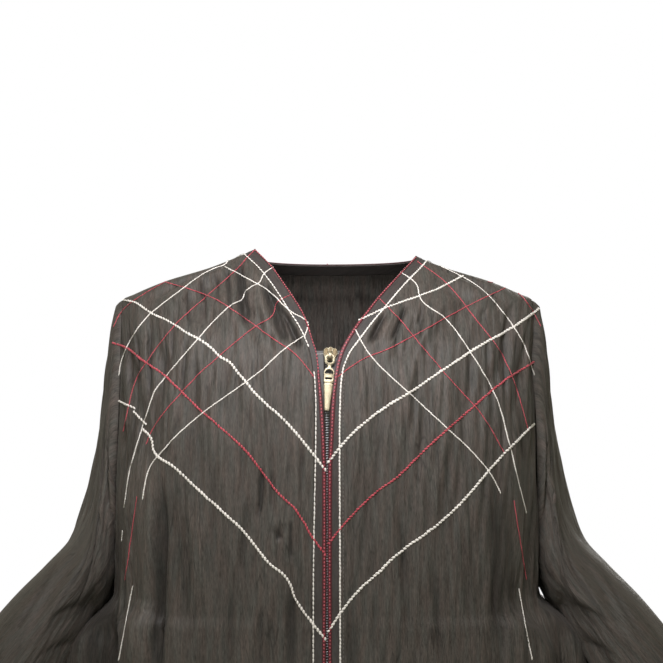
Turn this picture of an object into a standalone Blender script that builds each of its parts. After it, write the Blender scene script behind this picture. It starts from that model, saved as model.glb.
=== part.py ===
# Zip-front abaya as it hangs when worn: hollow cloth walls over a general figure.
# Metres, +Z up, front towards -Y. The origin is the middle of the neck base, level with the
# point where neck and shoulder meet. "Right" is the wearer's right, on the -X side.
import bpy
import math
from collections import namedtuple
from mathutils import Matrix, Vector
from mathutils.geometry import tessellate_polygon

# Driving dimensions
LENGTH = 1.40
WALL = 0.0012
SEAM_GAP = 0.0003
ARMHOLE_GAP = 0.0004
SHOULDER_TIP_Z = -0.052
UNDERARM_Z = -0.345
FRONT_TURN_Z = -0.300
ARMHOLE_FRONT = 0.045
ARMHOLE_BACK = 0.060
ZIP_TOP_Z = -0.0985
TAPE_TOP_Z = -0.1025
CHAIN_TOP_Z = -0.1065
ZIP_END_Z = -1.080

# Rows and columns of the cloth grids
ARMHOLE_ROWS = 12
SKIRT_ROWS = 17
FRONT_COLUMNS = 24
SHOULDER_COLUMNS = 6
BACK_NECK_COLUMNS = 14
BAND_COLUMNS = 2
ZIP_ROWS = 28
FRONT_ROW_POWER = 1.45
SKIRT_ROW_POWER = 1.5
ZIP_ROW_POWER = 1.25

RIGHT = -1
LEFT = 1

# Level sections of the body, from the neck down: half width at the side, depth in front of and
# behind the shoulder line, and how square the section's corners are (2 is an ellipse).
Section = namedtuple("Section", "z half_width front_depth back_depth squareness")
BODY_SECTIONS = (
    Section(0.000, 0.0745, 0.010, 0.040, 2.0),
    Section(-0.018, 0.1190, 0.028, 0.060, 2.0),
    Section(-0.033, 0.1675, 0.044, 0.075, 2.1),
    Section(-0.046, 0.1985, 0.057, 0.083, 2.2),
    Section(-0.052, 0.2105, 0.063, 0.087, 2.3),
    Section(-0.068, 0.2118, 0.078, 0.094, 2.5),
    Section(-0.098, 0.2122, 0.098, 0.102, 2.8),
    Section(-0.150, 0.2125, 0.116, 0.110, 3.0),
    Section(-0.200, 0.2125, 0.125, 0.114, 3.2),
    Section(-0.300, 0.2130, 0.132, 0.114, 3.2),
    Section(-0.345, 0.2135, 0.133, 0.113, 3.1),
    Section(-0.351, 0.2157, 0.133, 0.113, 3.1),
    Section(-0.358, 0.2215, 0.133, 0.113, 3.0),
    Section(-0.367, 0.2360, 0.134, 0.113, 3.0),
    Section(-0.378, 0.2500, 0.134, 0.114, 2.9),
    Section(-0.395, 0.2640, 0.135, 0.115, 2.8),
    Section(-0.430, 0.2745, 0.137, 0.118, 2.7),
    Section(-0.500, 0.2830, 0.142, 0.126, 2.5),
    Section(-0.700, 0.3020, 0.160, 0.152, 2.3),
    Section(-1.000, 0.3270, 0.187, 0.186, 2.2),
    Section(-1.400, 0.3560, 0.222, 0.228, 2.1),
)

# Distance from the middle to the front edge and to the band's outer line, on each side.
Edge = namedtuple("Edge", "z right_edge right_band left_edge left_band")
FRONT_EDGES = (
    Edge(0.000, 0.0745, 0.0920, 0.0975, 0.1150),
    Edge(-0.010, 0.0645, 0.0805, 0.0885, 0.1050),
    Edge(-0.020, 0.0552, 0.0700, 0.0792, 0.0955),
    Edge(-0.035, 0.0443, 0.0575, 0.0650, 0.0805),
    Edge(-0.050, 0.0338, 0.0470, 0.0511, 0.0668),
    Edge(-0.065, 0.0243, 0.0375, 0.0388, 0.0540),
    Edge(-0.080, 0.0180, 0.0275, 0.0268, 0.0415),
    Edge(-0.095, 0.0136, 0.0200, 0.0175, 0.0300),
    Edge(-0.105, 0.0104, 0.0165, 0.0125, 0.0225),
    Edge(-0.123, 0.0078, 0.0135, 0.0078, 0.0155),
    Edge(-0.141, 0.0056, 0.0122, 0.0052, 0.0133),
    Edge(-0.160, 0.0040, 0.0118, 0.0038, 0.0128),
    Edge(-0.180, 0.0028, 0.0118, 0.0029, 0.0125),
    Edge(-0.220, 0.0015, 0.0120, 0.0015, 0.0126),
    Edge(-0.340, 0.0014, 0.0135, 0.0014, 0.0130),
    Edge(-1.400, 0.0014, 0.0142, 0.0014, 0.0138),
)

# Height of the back neck edge and of its band's lower line at the middle of the back.
BACK_NECK_Z = -0.014
BACK_BAND_Z = -0.024

# Soft folds of the body. u is the place round the body: 0 middle front, 1 side, 2 middle back.
# half_width is in u. depth is outwards, so a trough is negative. open_end is 1 where the fold
# runs out at its lower end at full depth, 0 where it fades.
FOLD_FADE_IN = 0.30
FOLD_FADE_OUT = 0.35
OPEN_FOLD_START = 0.35
Fold = namedtuple("Fold", "side u_top z_top u_bottom z_bottom half_width depth open_end")
BODY_FOLDS = (
    # gathers that start at the neck band
    Fold(RIGHT, 0.83, -0.006, 0.55, -0.062, 0.075, -0.0050, 0),
    Fold(RIGHT, 0.64, -0.012, 0.40, -0.070, 0.065, 0.0035, 0),
    Fold(RIGHT, 0.50, -0.020, 0.31, -0.092, 0.060, -0.0060, 0),
    Fold(RIGHT, 0.33, -0.038, 0.21, -0.100, 0.050, 0.0030, 0),
    Fold(RIGHT, 0.25, -0.050, 0.14, -0.118, 0.048, -0.0050, 0),
    Fold(LEFT, 0.80, -0.014, 0.52, -0.066, 0.075, -0.0045, 0),
    Fold(LEFT, 0.60, -0.022, 0.43, -0.080, 0.065, 0.0035, 0),
    Fold(LEFT, 0.47, -0.032, 0.34, -0.096, 0.060, -0.0055, 0),
    Fold(LEFT, 0.36, -0.046, 0.25, -0.104, 0.050, 0.0030, 0),
    Fold(LEFT, 0.28, -0.058, 0.19, -0.124, 0.048, -0.0050, 0),
    # upright folds between shoulder and chest
    Fold(RIGHT, 0.62, -0.050, 0.42, -0.150, 0.060, -0.0040, 0),
    Fold(RIGHT, 0.74, -0.062, 0.49, -0.215, 0.060, -0.0055, 0),
    Fold(RIGHT, 0.80, -0.070, 0.62, -0.235, 0.050, -0.0055, 0),
    Fold(LEFT, 0.64, -0.048, 0.44, -0.160, 0.060, -0.0045, 0),
    Fold(LEFT, 0.72, -0.064, 0.51, -0.200, 0.060, -0.0050, 0),
    Fold(LEFT, 0.82, -0.074, 0.64, -0.245, 0.050, -0.0055, 0),
    # broad trough beside the flat of the chest, and the pleat in front of each side seam
    Fold(RIGHT, 0.60, -0.190, 0.56, -0.780, 0.110, -0.0090, 0),
    Fold(LEFT, 0.61, -0.200, 0.57, -0.720, 0.110, -0.0085, 0),
    Fold(RIGHT, 0.84, -0.350, 0.80, -0.760, 0.085, -0.0150, 0),
    Fold(LEFT, 0.84, -0.350, 0.80, -0.730, 0.085, -0.0140, 0),
    # flutes of the skirt front
    Fold(RIGHT, 0.22, -0.420, 0.20, -1.400, 0.130, 0.0120, 1),
    Fold(RIGHT, 0.42, -0.480, 0.39, -1.400, 0.100, -0.0140, 1),
    Fold(RIGHT, 0.60, -0.560, 0.57, -1.400, 0.100, 0.0170, 1),
    Fold(RIGHT, 0.80, -0.520, 0.76, -1.400, 0.110, -0.0180, 1),
    Fold(RIGHT, 0.98, -0.500, 0.97, -1.400, 0.110, 0.0150, 1),
    Fold(LEFT, 0.20, -0.440, 0.22, -1.400, 0.130, 0.0110, 1),
    Fold(LEFT, 0.39, -0.520, 0.41, -1.400, 0.100, -0.0150, 1),
    Fold(LEFT, 0.58, -0.500, 0.60, -1.400, 0.105, 0.0160, 1),
    Fold(LEFT, 0.79, -0.540, 0.79, -1.400, 0.105, -0.0190, 1),
    Fold(LEFT, 0.99, -0.480, 0.98, -1.400, 0.110, 0.0150, 1),
    # folds of the back, from the shoulder blades down
    Fold(RIGHT, 1.44, -0.090, 1.40, -0.420, 0.090, -0.0060, 0),
    Fold(LEFT, 1.46, -0.100, 1.38, -0.400, 0.090, -0.0055, 0),
    Fold(RIGHT, 1.24, -0.300, 1.22, -1.400, 0.120, -0.0200, 1),
    Fold(RIGHT, 1.46, -0.340, 1.45, -1.400, 0.120, 0.0180, 1),
    Fold(RIGHT, 1.68, -0.280, 1.68, -1.400, 0.110, -0.0170, 1),
    Fold(RIGHT, 1.90, -0.220, 1.88, -1.400, 0.100, 0.0140, 1),
    Fold(LEFT, 1.26, -0.320, 1.25, -1.400, 0.120, -0.0190, 1),
    Fold(LEFT, 1.49, -0.300, 1.47, -1.400, 0.115, 0.0170, 1),
    Fold(LEFT, 1.70, -0.360, 1.71, -1.400, 0.110, -0.0180, 1),
    Fold(LEFT, 1.92, -0.300, 1.90, -1.400, 0.080, 0.0100, 1),
)

# Sleeve rings past the armhole: the outer line over the arm, the line under the arm, half the
# sleeve's depth from front to back, and how far the ring turns with the arm's forward run.
# x is the distance outwards on either side.
Ring = namedtuple("Ring", "outer_x outer_y outer_z under_x under_y under_z half_depth swing")
SLEEVE_RINGS = (
    Ring(0.2194, 0.008, -0.071, 0.2214, 0.009, -0.3520, 0.050, 0.50),
    Ring(0.2252, 0.008, -0.105, 0.2270, 0.008, -0.3585, 0.052, 0.50),
    Ring(0.2300, 0.007, -0.145, 0.2340, 0.005, -0.3630, 0.055, 0.50),
    Ring(0.2350, 0.006, -0.185, 0.2415, 0.001, -0.3680, 0.059, 0.50),
    Ring(0.2392, 0.003, -0.222, 0.2495, -0.004, -0.3750, 0.062, 0.50),
    Ring(0.2460, -0.002, -0.259, 0.2585, -0.010, -0.3840, 0.064, 0.50),
    Ring(0.2580, -0.010, -0.292, 0.2680, -0.020, -0.3990, 0.065, 0.55),
    Ring(0.2840, -0.022, -0.321, 0.2780, -0.033, -0.4200, 0.064, 0.65),
    Ring(0.3140, -0.038, -0.351, 0.2890, -0.048, -0.4450, 0.063, 0.80),
    Ring(0.3420, -0.054, -0.384, 0.3010, -0.063, -0.4720, 0.062, 0.90),
    Ring(0.3680, -0.070, -0.418, 0.3140, -0.078, -0.5005, 0.061, 1.00),
    Ring(0.3930, -0.086, -0.453, 0.3270, -0.093, -0.5290, 0.059, 1.00),
    Ring(0.4130, -0.102, -0.488, 0.3410, -0.108, -0.5570, 0.057, 1.00),
    Ring(0.4320, -0.118, -0.523, 0.3550, -0.123, -0.5850, 0.056, 1.00),
    Ring(0.4500, -0.134, -0.557, 0.3690, -0.138, -0.6120, 0.055, 1.00),
)

# How far each of the first sleeve rings still keeps the armhole's line, and how square the
# sleeve's section is (2 is an ellipse)
ARMHOLE_HOLD = (0.70, 0.30)
SHOULDER_END_SLOPE = -0.40
UNDERARM_END_SLOPE = 0.75
SLEEVE_SQUARENESS = 2.35

# Soft folds of the sleeve. ring counts from 0 at the armhole, turn from 0 over the arm through
# 0.25 in front and 0.5 under it.
SleeveFold = namedtuple("SleeveFold", "ring_top turn_top ring_end turn_end half_turn depth")
SLEEVE_FOLDS = (
    SleeveFold(0.5, 0.13, 5.5, 0.22, 0.050, -0.0035),
    SleeveFold(4.0, 0.42, 9.0, 0.24, 0.055, -0.0050),
    SleeveFold(5.5, 0.46, 11.0, 0.33, 0.050, 0.0040),
    SleeveFold(6.0, 0.08, 9.5, 0.20, 0.060, -0.0050),
    SleeveFold(1.0, 0.80, 8.0, 0.70, 0.060, -0.0055),
    SleeveFold(6.5, 0.92, 11.0, 0.78, 0.055, -0.0045),
    SleeveFold(9.0, 0.06, 15.0, 0.10, 0.060, -0.0040),
    SleeveFold(9.5, 0.60, 15.0, 0.64, 0.060, -0.0045),
)

# Zip: depths are measured from the cloth's outer face inwards
CHAIN_HALF_WIDTH = 0.0028
CHAIN_DEPTH = 0.0015
CHAIN_THICKNESS = 0.0022
TAPE_INNER_X = 0.0031
TAPE_OUTER_X = 0.0150
TAPE_DEPTH = 0.0021
TAPE_THICKNESS = 0.0010
STOP_HEIGHT = 0.0040
STOP_HALF_WIDTH = 0.0028

# Slider, in its own frame: x across, y out of the cloth, z up from its upper end
SLIDER_HEIGHT = 0.0155
SLIDER_LEAN = math.radians(3.4)
SLIDER_STOCK_HALF = 0.009
SLIDER_FRONT_FACE = 0.0006
SLIDER_FRONT_BACK = -0.0009
SLIDER_REAR_FRONT = -0.0041
SLIDER_REAR_BACK = -0.0053
SLIDER_SPINE = 0.0020
SliderRow = namedtuple("SliderRow", "drop half_width")
SLIDER_OUTLINE = (
    SliderRow(0.0000, 0.0030),
    SliderRow(0.0008, 0.0052),
    SliderRow(0.0024, 0.0068),
    SliderRow(0.0045, 0.0072),
    SliderRow(0.0070, 0.0068),
    SliderRow(0.0092, 0.0058),
    SliderRow(0.0115, 0.0051),
    SliderRow(0.0140, 0.0047),
    SliderRow(0.0155, 0.0038),
)
BRIDGE_HALF_WIDTH = 0.0017
BRIDGE_TOP_DROP = 0.0072
BRIDGE_HEIGHT = 0.0076
BRIDGE_LEG = 0.0012
BRIDGE_CLEAR = 0.0030
BRIDGE_BAR = 0.0012
BRIDGE_SINK = 0.0006
BRIDGE_BEVEL_DEPTH = 0.0008
BRIDGE_BEVEL_HEIGHT = 0.0010

# Pull tab: drop is measured from the slider's upper end
PIVOT_DROP = 0.0110
PULL_THICKNESS = 0.0014
PULL_LEAN = math.radians(5.0)
PullRow = namedtuple("PullRow", "drop half_width")
PULL_OUTLINE = (
    PullRow(0.01025, 0.0022),
    PullRow(0.01060, 0.0040),
    PullRow(0.01200, 0.0050),
    PullRow(0.01400, 0.0052),
    PullRow(0.01650, 0.0046),
    PullRow(0.01830, 0.0032),
    PullRow(0.01900, 0.0018),
    PullRow(0.02130, 0.0018),
    PullRow(0.02200, 0.0036),
    PullRow(0.02340, 0.0048),
    PullRow(0.02520, 0.0052),
    PullRow(0.03650, 0.0051),
    PullRow(0.03720, 0.0038),
    PullRow(0.03790, 0.0049),
    PullRow(0.04600, 0.0042),
    PullRow(0.05500, 0.0034),
    PullRow(0.06180, 0.0028),
    PullRow(0.06250, 0.0022),
)
PullHole = namedtuple("PullHole", "top bottom half_width rounding")
PULL_HOLES = (
    PullHole(0.0118, 0.0172, 0.0029, 0.0012),
    PullHole(0.0228, 0.0266, 0.0034, 0.0014),
    PullHole(0.0308, 0.0323, 0.0031, 0.0005),
)

# Colours seen on the cloth and the metal
CLOTH_COLOUR = (0.030, 0.028, 0.027, 1.0)
TAPE_COLOUR = (0.075, 0.078, 0.080, 1.0)
TEETH_COLOUR = (0.020, 0.021, 0.024, 1.0)
METAL_COLOUR = (0.72, 0.66, 0.54, 1.0)


def clear_scene():
    for item in list(bpy.data.objects):
        bpy.data.objects.remove(item, do_unlink=True)


def make_material(name, colour, roughness, metallic):
    material = bpy.data.materials.new(name)
    material.use_nodes = True
    shader = material.node_tree.nodes["Principled BSDF"]
    shader.inputs["Base Color"].default_value = colour
    shader.inputs["Roughness"].default_value = roughness
    shader.inputs["Metallic"].default_value = metallic
    material.diffuse_color = colour
    return material


def mix(a, b, share):
    return a + (b - a) * share


def smooth_step(value):
    value = min(1.0, max(0.0, value))
    return value * value * (3.0 - 2.0 * value)


def table_slopes(xs, ys):
    # slopes of a curve through the table that never swings past its values
    steps = [(ys[i + 1] - ys[i]) / (xs[i + 1] - xs[i]) for i in range(len(xs) - 1)]
    slopes = [steps[0]]
    for before, after in zip(steps, steps[1:]):
        if before * after <= 0.0:
            slopes.append(0.0)
        else:
            slopes.append(2.0 * before * after / (before + after))
    slopes.append(steps[-1])
    return slopes


class Table:
    """Smooth curves through the columns of a short table, read at any z."""

    def __init__(self, rows):
        self.rows = sorted(rows, key=lambda row: row.z)
        self.zs = [row.z for row in self.rows]
        self.columns = {}
        for field in self.rows[0]._fields:
            values = [getattr(row, field) for row in self.rows]
            self.columns[field] = (values, table_slopes(self.zs, values))

    def at(self, field, z):
        values, slopes = self.columns[field]
        z = min(self.zs[-1], max(self.zs[0], z))
        i = 0
        while i < len(self.zs) - 2 and z > self.zs[i + 1]:
            i += 1
        step = self.zs[i + 1] - self.zs[i]
        t = (z - self.zs[i]) / step
        t2 = t * t
        t3 = t2 * t
        return (
            (2 * t3 - 3 * t2 + 1) * values[i]
            + (t3 - 2 * t2 + t) * step * slopes[i]
            + (3 * t2 - 2 * t3) * values[i + 1]
            + (t3 - t2) * step * slopes[i + 1]
        )


SECTIONS = Table(BODY_SECTIONS)
EDGES = Table(FRONT_EDGES)


def ridge_height(x):
    # the height of the shoulder line at a distance x from the middle
    low = SHOULDER_TIP_Z
    high = 0.0
    for _ in range(40):
        middle = (low + high) / 2
        if SECTIONS.at("half_width", middle) > x:
            low = middle
        else:
            high = middle
    return (low + high) / 2


def line_start(field):
    # the height at which a front edge or band line meets the shoulder line
    low = SHOULDER_TIP_Z
    high = 0.0
    for _ in range(40):
        middle = (low + high) / 2
        if SECTIONS.at("half_width", middle) > EDGES.at(field, middle):
            low = middle
        else:
            high = middle
    return (low + high) / 2


def girth_of_x(x, z):
    # the place u round the front, 0 to 1, that lies x out from the middle
    share = min(1.0, x / SECTIONS.at("half_width", z))
    power = SECTIONS.at("squareness", z)
    depth_share = max(0.0, 1.0 - share ** power) ** (1.0 / power)
    return math.atan2(share, depth_share) / (math.pi / 2)


def armhole_girth(z, reach, depth_field):
    # the place u, counted from the front or the back, of the armhole's edge at this height
    share = (z - SHOULDER_TIP_Z) / (UNDERARM_Z - SHOULDER_TIP_Z)
    if share <= 0.0 or share >= 1.0:
        return 1.0
    y = reach * math.sin(math.pi * share) ** 0.6
    y_share = y / SECTIONS.at(depth_field, z)
    power = SECTIONS.at("squareness", z)
    x_share = (1.0 - y_share ** power) ** (1.0 / power)
    return math.atan2(x_share, y_share) / (math.pi / 2)


def plain_body(side, u, z):
    # the body's surface without folds
    angle = u * math.pi / 2
    across = abs(math.sin(angle))
    along = abs(math.cos(angle))
    power = SECTIONS.at("squareness", z)
    radius = (across ** power + along ** power) ** (-1.0 / power)
    x = side * SECTIONS.at("half_width", z) * radius * math.sin(angle)
    if u <= 1.0:
        y = -SECTIONS.at("front_depth", z) * radius * along
    else:
        y = SECTIONS.at("back_depth", z) * radius * along
    return Vector((x, y, z))


def surface_normal(surface, side, u, z):
    step_u = 0.004
    step_z = 0.0008
    lower_u = max(0.0, u - step_u)
    upper_u = min(2.0, u + step_u)
    lower_z = z - step_z
    upper_z = min(0.0, z + step_z)
    along_u = surface(side, upper_u, z) - surface(side, lower_u, z)
    along_z = surface(side, u, upper_z) - surface(side, u, lower_z)
    normal = along_u.cross(along_z) * side
    return normal.normalized()


def fold_height(side, u, z):
    height = 0.0
    for fold in BODY_FOLDS:
        if fold.side != side:
            continue
        along = (z - fold.z_top) / (fold.z_bottom - fold.z_top)
        if along <= 0.0 or along > 1.0:
            continue
        across = (u - mix(fold.u_top, fold.u_bottom, along)) / fold.half_width
        if abs(across) >= 1.0:
            continue
        fade = smooth_step(along / FOLD_FADE_IN)
        if fold.open_end:
            fade *= mix(OPEN_FOLD_START, 1.0, along)
        else:
            fade *= smooth_step((1.0 - along) / FOLD_FADE_OUT)
        height += fold.depth * fade * (0.5 + 0.5 * math.cos(math.pi * across))
    return height


def body(side, u, z):
    point = plain_body(side, u, z)
    height = fold_height(side, u, z)
    if height == 0.0:
        return point
    return point + surface_normal(plain_body, side, u, z) * height


def body_normal(side, u, z):
    return surface_normal(body, side, u, z)


def armhole_row_z(row):
    turn = math.pi * row / ARMHOLE_ROWS
    return mix(SHOULDER_TIP_Z, UNDERARM_Z, (1.0 - math.cos(turn)) / 2)


def skirt_share(row):
    return ((row - ARMHOLE_ROWS) / SKIRT_ROWS) ** SKIRT_ROW_POWER


def inner_row_z(start, row):
    # height of a grid row at the front edge, from the shoulder line down to the hem
    if row <= ARMHOLE_ROWS:
        return mix(start, FRONT_TURN_Z, (row / ARMHOLE_ROWS) ** FRONT_ROW_POWER)
    return mix(FRONT_TURN_Z, -LENGTH, skirt_share(row))


def outer_row_z(row):
    if row <= ARMHOLE_ROWS:
        return armhole_row_z(row)
    return mix(UNDERARM_Z, -LENGTH, skirt_share(row))


def flat_seam(normal, axis):
    # a normal that lies in the seam's own plane
    normal = normal.copy()
    normal[axis] = 0.0
    return normal.normalized()


class Wall:
    """Grid of outer points with the normals that its thickness is measured along."""

    def __init__(self):
        self.points = []
        self.normals = []

    def add_row(self, row):
        self.points.append([point for point, normal in row])
        self.normals.append([normal for point, normal in row])

    def inner(self, thickness):
        return [
            [point - normal * thickness for point, normal in zip(points, normals)]
            for points, normals in zip(self.points, self.normals)
        ]


def mesh_object(name, vertices, faces, material):
    mesh = bpy.data.meshes.new(name)
    mesh.from_pydata([tuple(vertex) for vertex in vertices], [], faces)
    mesh.validate()
    mesh.materials.append(material)
    mesh.shade_smooth()
    item = bpy.data.objects.new(name, mesh)
    bpy.context.collection.objects.link(item)
    return item


def split_quad(vertices, a, b, c, d):
    # two triangles along the shorter diagonal, so that facing rims and faces split alike
    if (vertices[a] - vertices[c]).length < (vertices[b] - vertices[d]).length:
        return (a, b, c), (a, c, d)
    return (a, b, d), (b, c, d)


def wall_object(name, outer, inner, closed, flip, material):
    # a closed solid from matching outer and inner grids; closed joins the last column to the first
    rows = len(outer)
    columns = len(outer[0])
    vertices = [point for row in outer for point in row]
    vertices += [point for row in inner for point in row]
    offset = rows * columns
    spans = columns if closed else columns - 1
    faces = []
    for r in range(rows - 1):
        for c in range(spans):
            n = (c + 1) % columns
            a = r * columns + c
            b = r * columns + n
            d = (r + 1) * columns + c
            e = (r + 1) * columns + n
            halves = split_quad(vertices, a, d, e, b)
            faces.extend(halves)
            faces.extend(tuple(offset + i for i in reversed(half)) for half in halves)
    last = (rows - 1) * columns
    for c in range(spans):
        n = (c + 1) % columns
        faces.extend(split_quad(vertices, c, n, offset + n, offset + c))
        faces.extend(split_quad(vertices, last + n, last + c, offset + last + c, offset + last + n))
    if not closed:
        for r in range(rows - 1):
            a = r * columns
            b = (r + 1) * columns
            faces.extend(split_quad(vertices, b, a, offset + a, offset + b))
            a += columns - 1
            b += columns - 1
            faces.extend(split_quad(vertices, a, b, offset + b, offset + a))
    if flip:
        faces = [tuple(reversed(face)) for face in faces]
    return mesh_object(name, vertices, faces, material)


def front_place(side, row, share):
    # u and z of a point of the front panel: share runs from the band line to the side
    field = "right_band" if side == RIGHT else "left_band"
    start = line_start(field)
    inner_z = inner_row_z(start, row)
    outer_z = outer_row_z(row)
    tip_x = SECTIONS.at("half_width", SHOULDER_TIP_Z)
    start_x = SECTIONS.at("half_width", start)
    top_z = ridge_height(mix(start_x, tip_x, share))
    z = top_z + mix(inner_z - start, outer_z - SHOULDER_TIP_Z, share)
    inner_x = EDGES.at(field, inner_z) + SEAM_GAP
    x = mix(inner_x, tip_x, share)
    u = girth_of_x(x, z)
    if row == 0:
        return 1.0, z
    edge_u = armhole_girth(outer_z, ARMHOLE_FRONT, "front_depth")
    u += (edge_u - girth_of_x(tip_x, outer_z)) * share ** 3
    even_u = mix(girth_of_x(inner_x, inner_z), edge_u, share)
    return mix(u, even_u, smooth_step((row - 5) / 9)), z


def seam_shift(point, direction):
    # half the seam gap away from the neighbour across the shoulder or side seam
    return point + Vector((0.0, direction * SEAM_GAP / 2, 0.0))


def build_front(side, material):
    wall = Wall()
    for row in range(ARMHOLE_ROWS + SKIRT_ROWS + 1):
        line = []
        for column in range(FRONT_COLUMNS + 1):
            share = column / FRONT_COLUMNS
            u, z = front_place(side, row, share)
            normal = body_normal(side, u, z)
            at_side = column == FRONT_COLUMNS and (row == 0 or row >= ARMHOLE_ROWS)
            if row == 0 or at_side:
                normal = flat_seam(normal, 1)
            line.append((seam_shift(body(side, u, z), -1), normal))
        wall.add_row(line)
    name = "front_right" if side == RIGHT else "front_left"
    wall_object(name, wall.points, wall.inner(WALL), False, side == RIGHT, material)
    return wall


def build_front_band(side, material):
    fields = ("right_edge", "right_band") if side == RIGHT else ("left_edge", "left_band")
    starts = [line_start(field) for field in fields]
    wall = Wall()
    for row in range(ARMHOLE_ROWS + SKIRT_ROWS + 1):
        heights = [inner_row_z(start, row) for start in starts]
        places = [EDGES.at(field, z) for field, z in zip(fields, heights)]
        line = []
        for column in range(BAND_COLUMNS + 1):
            share = column / BAND_COLUMNS
            z = mix(heights[0], heights[1], share)
            u = girth_of_x(mix(places[0], places[1], share), z)
            if row == 0:
                z = ridge_height(mix(places[0], places[1], share))
                u = 1.0
            normal = body_normal(side, u, z)
            if row == 0:
                normal = flat_seam(normal, 1)
            line.append((seam_shift(body(side, u, z), -1), normal))
        wall.add_row(line)
    name = "front_band_right" if side == RIGHT else "front_band_left"
    wall_object(name, wall.points, wall.inner(WALL), False, side == RIGHT, material)
    return wall


def back_neck_place(turn, field, middle_z):
    # turn runs from -1 at the right shoulder through 0 at the middle back to 1 at the left
    side = RIGHT if turn < 0 else LEFT
    start = line_start(("right_" if side == RIGHT else "left_") + field)
    z = mix(middle_z, start, abs(turn) ** 2.2)
    return side, 2.0 - abs(turn), z


def back_top_place(column):
    # side, u and z along the back panel's upper edge, from the right tip to the left tip
    last = 2 * SHOULDER_COLUMNS + BACK_NECK_COLUMNS
    from_tip = min(column, last - column)
    if from_tip < SHOULDER_COLUMNS:
        side = RIGHT if column < last / 2 else LEFT
        start = line_start("right_band" if side == RIGHT else "left_band")
        tip_x = SECTIONS.at("half_width", SHOULDER_TIP_Z)
        start_x = SECTIONS.at("half_width", start)
        x = mix(tip_x, start_x, from_tip / SHOULDER_COLUMNS)
        return side, 1.0, ridge_height(x)
    turn = (column - last / 2) / (BACK_NECK_COLUMNS / 2)
    return back_neck_place(turn, "band", BACK_BAND_Z)


def build_back(material):
    last = 2 * SHOULDER_COLUMNS + BACK_NECK_COLUMNS
    wall = Wall()
    for row in range(ARMHOLE_ROWS + SKIRT_ROWS + 1):
        line = []
        for column in range(last + 1):
            side, top_u, top_z = back_top_place(column)
            edge_z = outer_row_z(row)
            if row <= ARMHOLE_ROWS:
                share = (edge_z - SHOULDER_TIP_Z) / (UNDERARM_Z - SHOULDER_TIP_Z)
                z = mix(top_z, UNDERARM_Z, share)
            else:
                z = edge_z
            from_tip = min(column, last - column) / (last / 2)
            top_x = abs(plain_body(side, top_u, top_z).x)
            u = 2.0 - girth_of_x(top_x, z)
            if row == 0:
                u = top_u
            else:
                tip_x = SECTIONS.at("half_width", SHOULDER_TIP_Z)
                edge_u = 2.0 - armhole_girth(edge_z, ARMHOLE_BACK, "back_depth")
                u += (edge_u - 2.0 + girth_of_x(tip_x, edge_z)) * (1.0 - from_tip) ** 3
                even_u = mix(edge_u, 2.0, from_tip)
                u = mix(u, even_u, smooth_step((row - 5) / 9))
            if row == 0 and SHOULDER_COLUMNS <= column <= last - SHOULDER_COLUMNS:
                z -= SEAM_GAP
            normal = body_normal(side, u, z)
            at_tip = column in (0, last)
            on_shoulder = row == 0 and (column <= SHOULDER_COLUMNS or column >= last - SHOULDER_COLUMNS)
            if on_shoulder or (at_tip and row >= ARMHOLE_ROWS):
                normal = flat_seam(normal, 1)
            if column == last // 2:
                normal = flat_seam(normal, 0)
            line.append((seam_shift(body(side, u, z), 1), normal))
        wall.add_row(line)
    wall_object("back", wall.points, wall.inner(WALL), False, True, material)
    return wall


def build_back_band(material):
    wall = Wall()
    for row in range(BAND_COLUMNS + 1):
        share = row / BAND_COLUMNS
        line = []
        for column in range(BACK_NECK_COLUMNS + 1):
            turn = 2 * column / BACK_NECK_COLUMNS - 1
            side, u, edge_z = back_neck_place(turn, "edge", BACK_NECK_Z)
            band_z = back_neck_place(turn, "band", BACK_BAND_Z)[2]
            z = mix(edge_z, band_z, share)
            normal = body_normal(side, u, z)
            if abs(turn) == 1:
                normal = flat_seam(normal, 1)
            if turn == 0:
                normal = flat_seam(normal, 0)
            line.append((seam_shift(body(side, u, z), 1), normal))
        wall.add_row(line)
    wall_object("back_neck_band", wall.points, wall.inner(WALL), False, True, material)


def armhole_loop(side, front, back):
    # outer and inner points round the armhole: from the shoulder down the front edge to the
    # underarm and up the back edge, with the direction that leads out of the panel
    front_inner = front.inner(WALL)
    back_inner = back.inner(WALL)
    back_column = 0 if side == RIGHT else -1
    back_inward = 1 if side == RIGHT else -2

    def edge_point(wall, inner, row, column, inward):
        outer = wall.points[row][column]
        edge = wall.points[min(row + 1, ARMHOLE_ROWS)][column] - wall.points[max(row - 1, 0)][column]
        away = edge.cross(wall.normals[row][column])
        if away.dot(outer - wall.points[row][inward]) < 0:
            away = -away
        return outer, inner[row][column], away

    loop = [edge_point(front, front_inner, row, -1, -2) for row in range(ARMHOLE_ROWS + 1)]
    for row in range(ARMHOLE_ROWS - 1, 0, -1):
        loop.append(edge_point(back, back_inner, row, back_column, back_inward))
    top_back = back.points[0][back_column]
    low_back = back.points[ARMHOLE_ROWS][back_column]
    loop[0] = (
        (loop[0][0] + top_back) / 2,
        (loop[0][1] + back_inner[0][back_column]) / 2,
        Vector((side, 0.0, SHOULDER_END_SLOPE)),
    )
    loop[ARMHOLE_ROWS] = (
        (loop[ARMHOLE_ROWS][0] + low_back) / 2,
        (loop[ARMHOLE_ROWS][1] + back_inner[ARMHOLE_ROWS][back_column]) / 2,
        Vector((side, 0.0, UNDERARM_END_SLOPE)),
    )
    return loop


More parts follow.
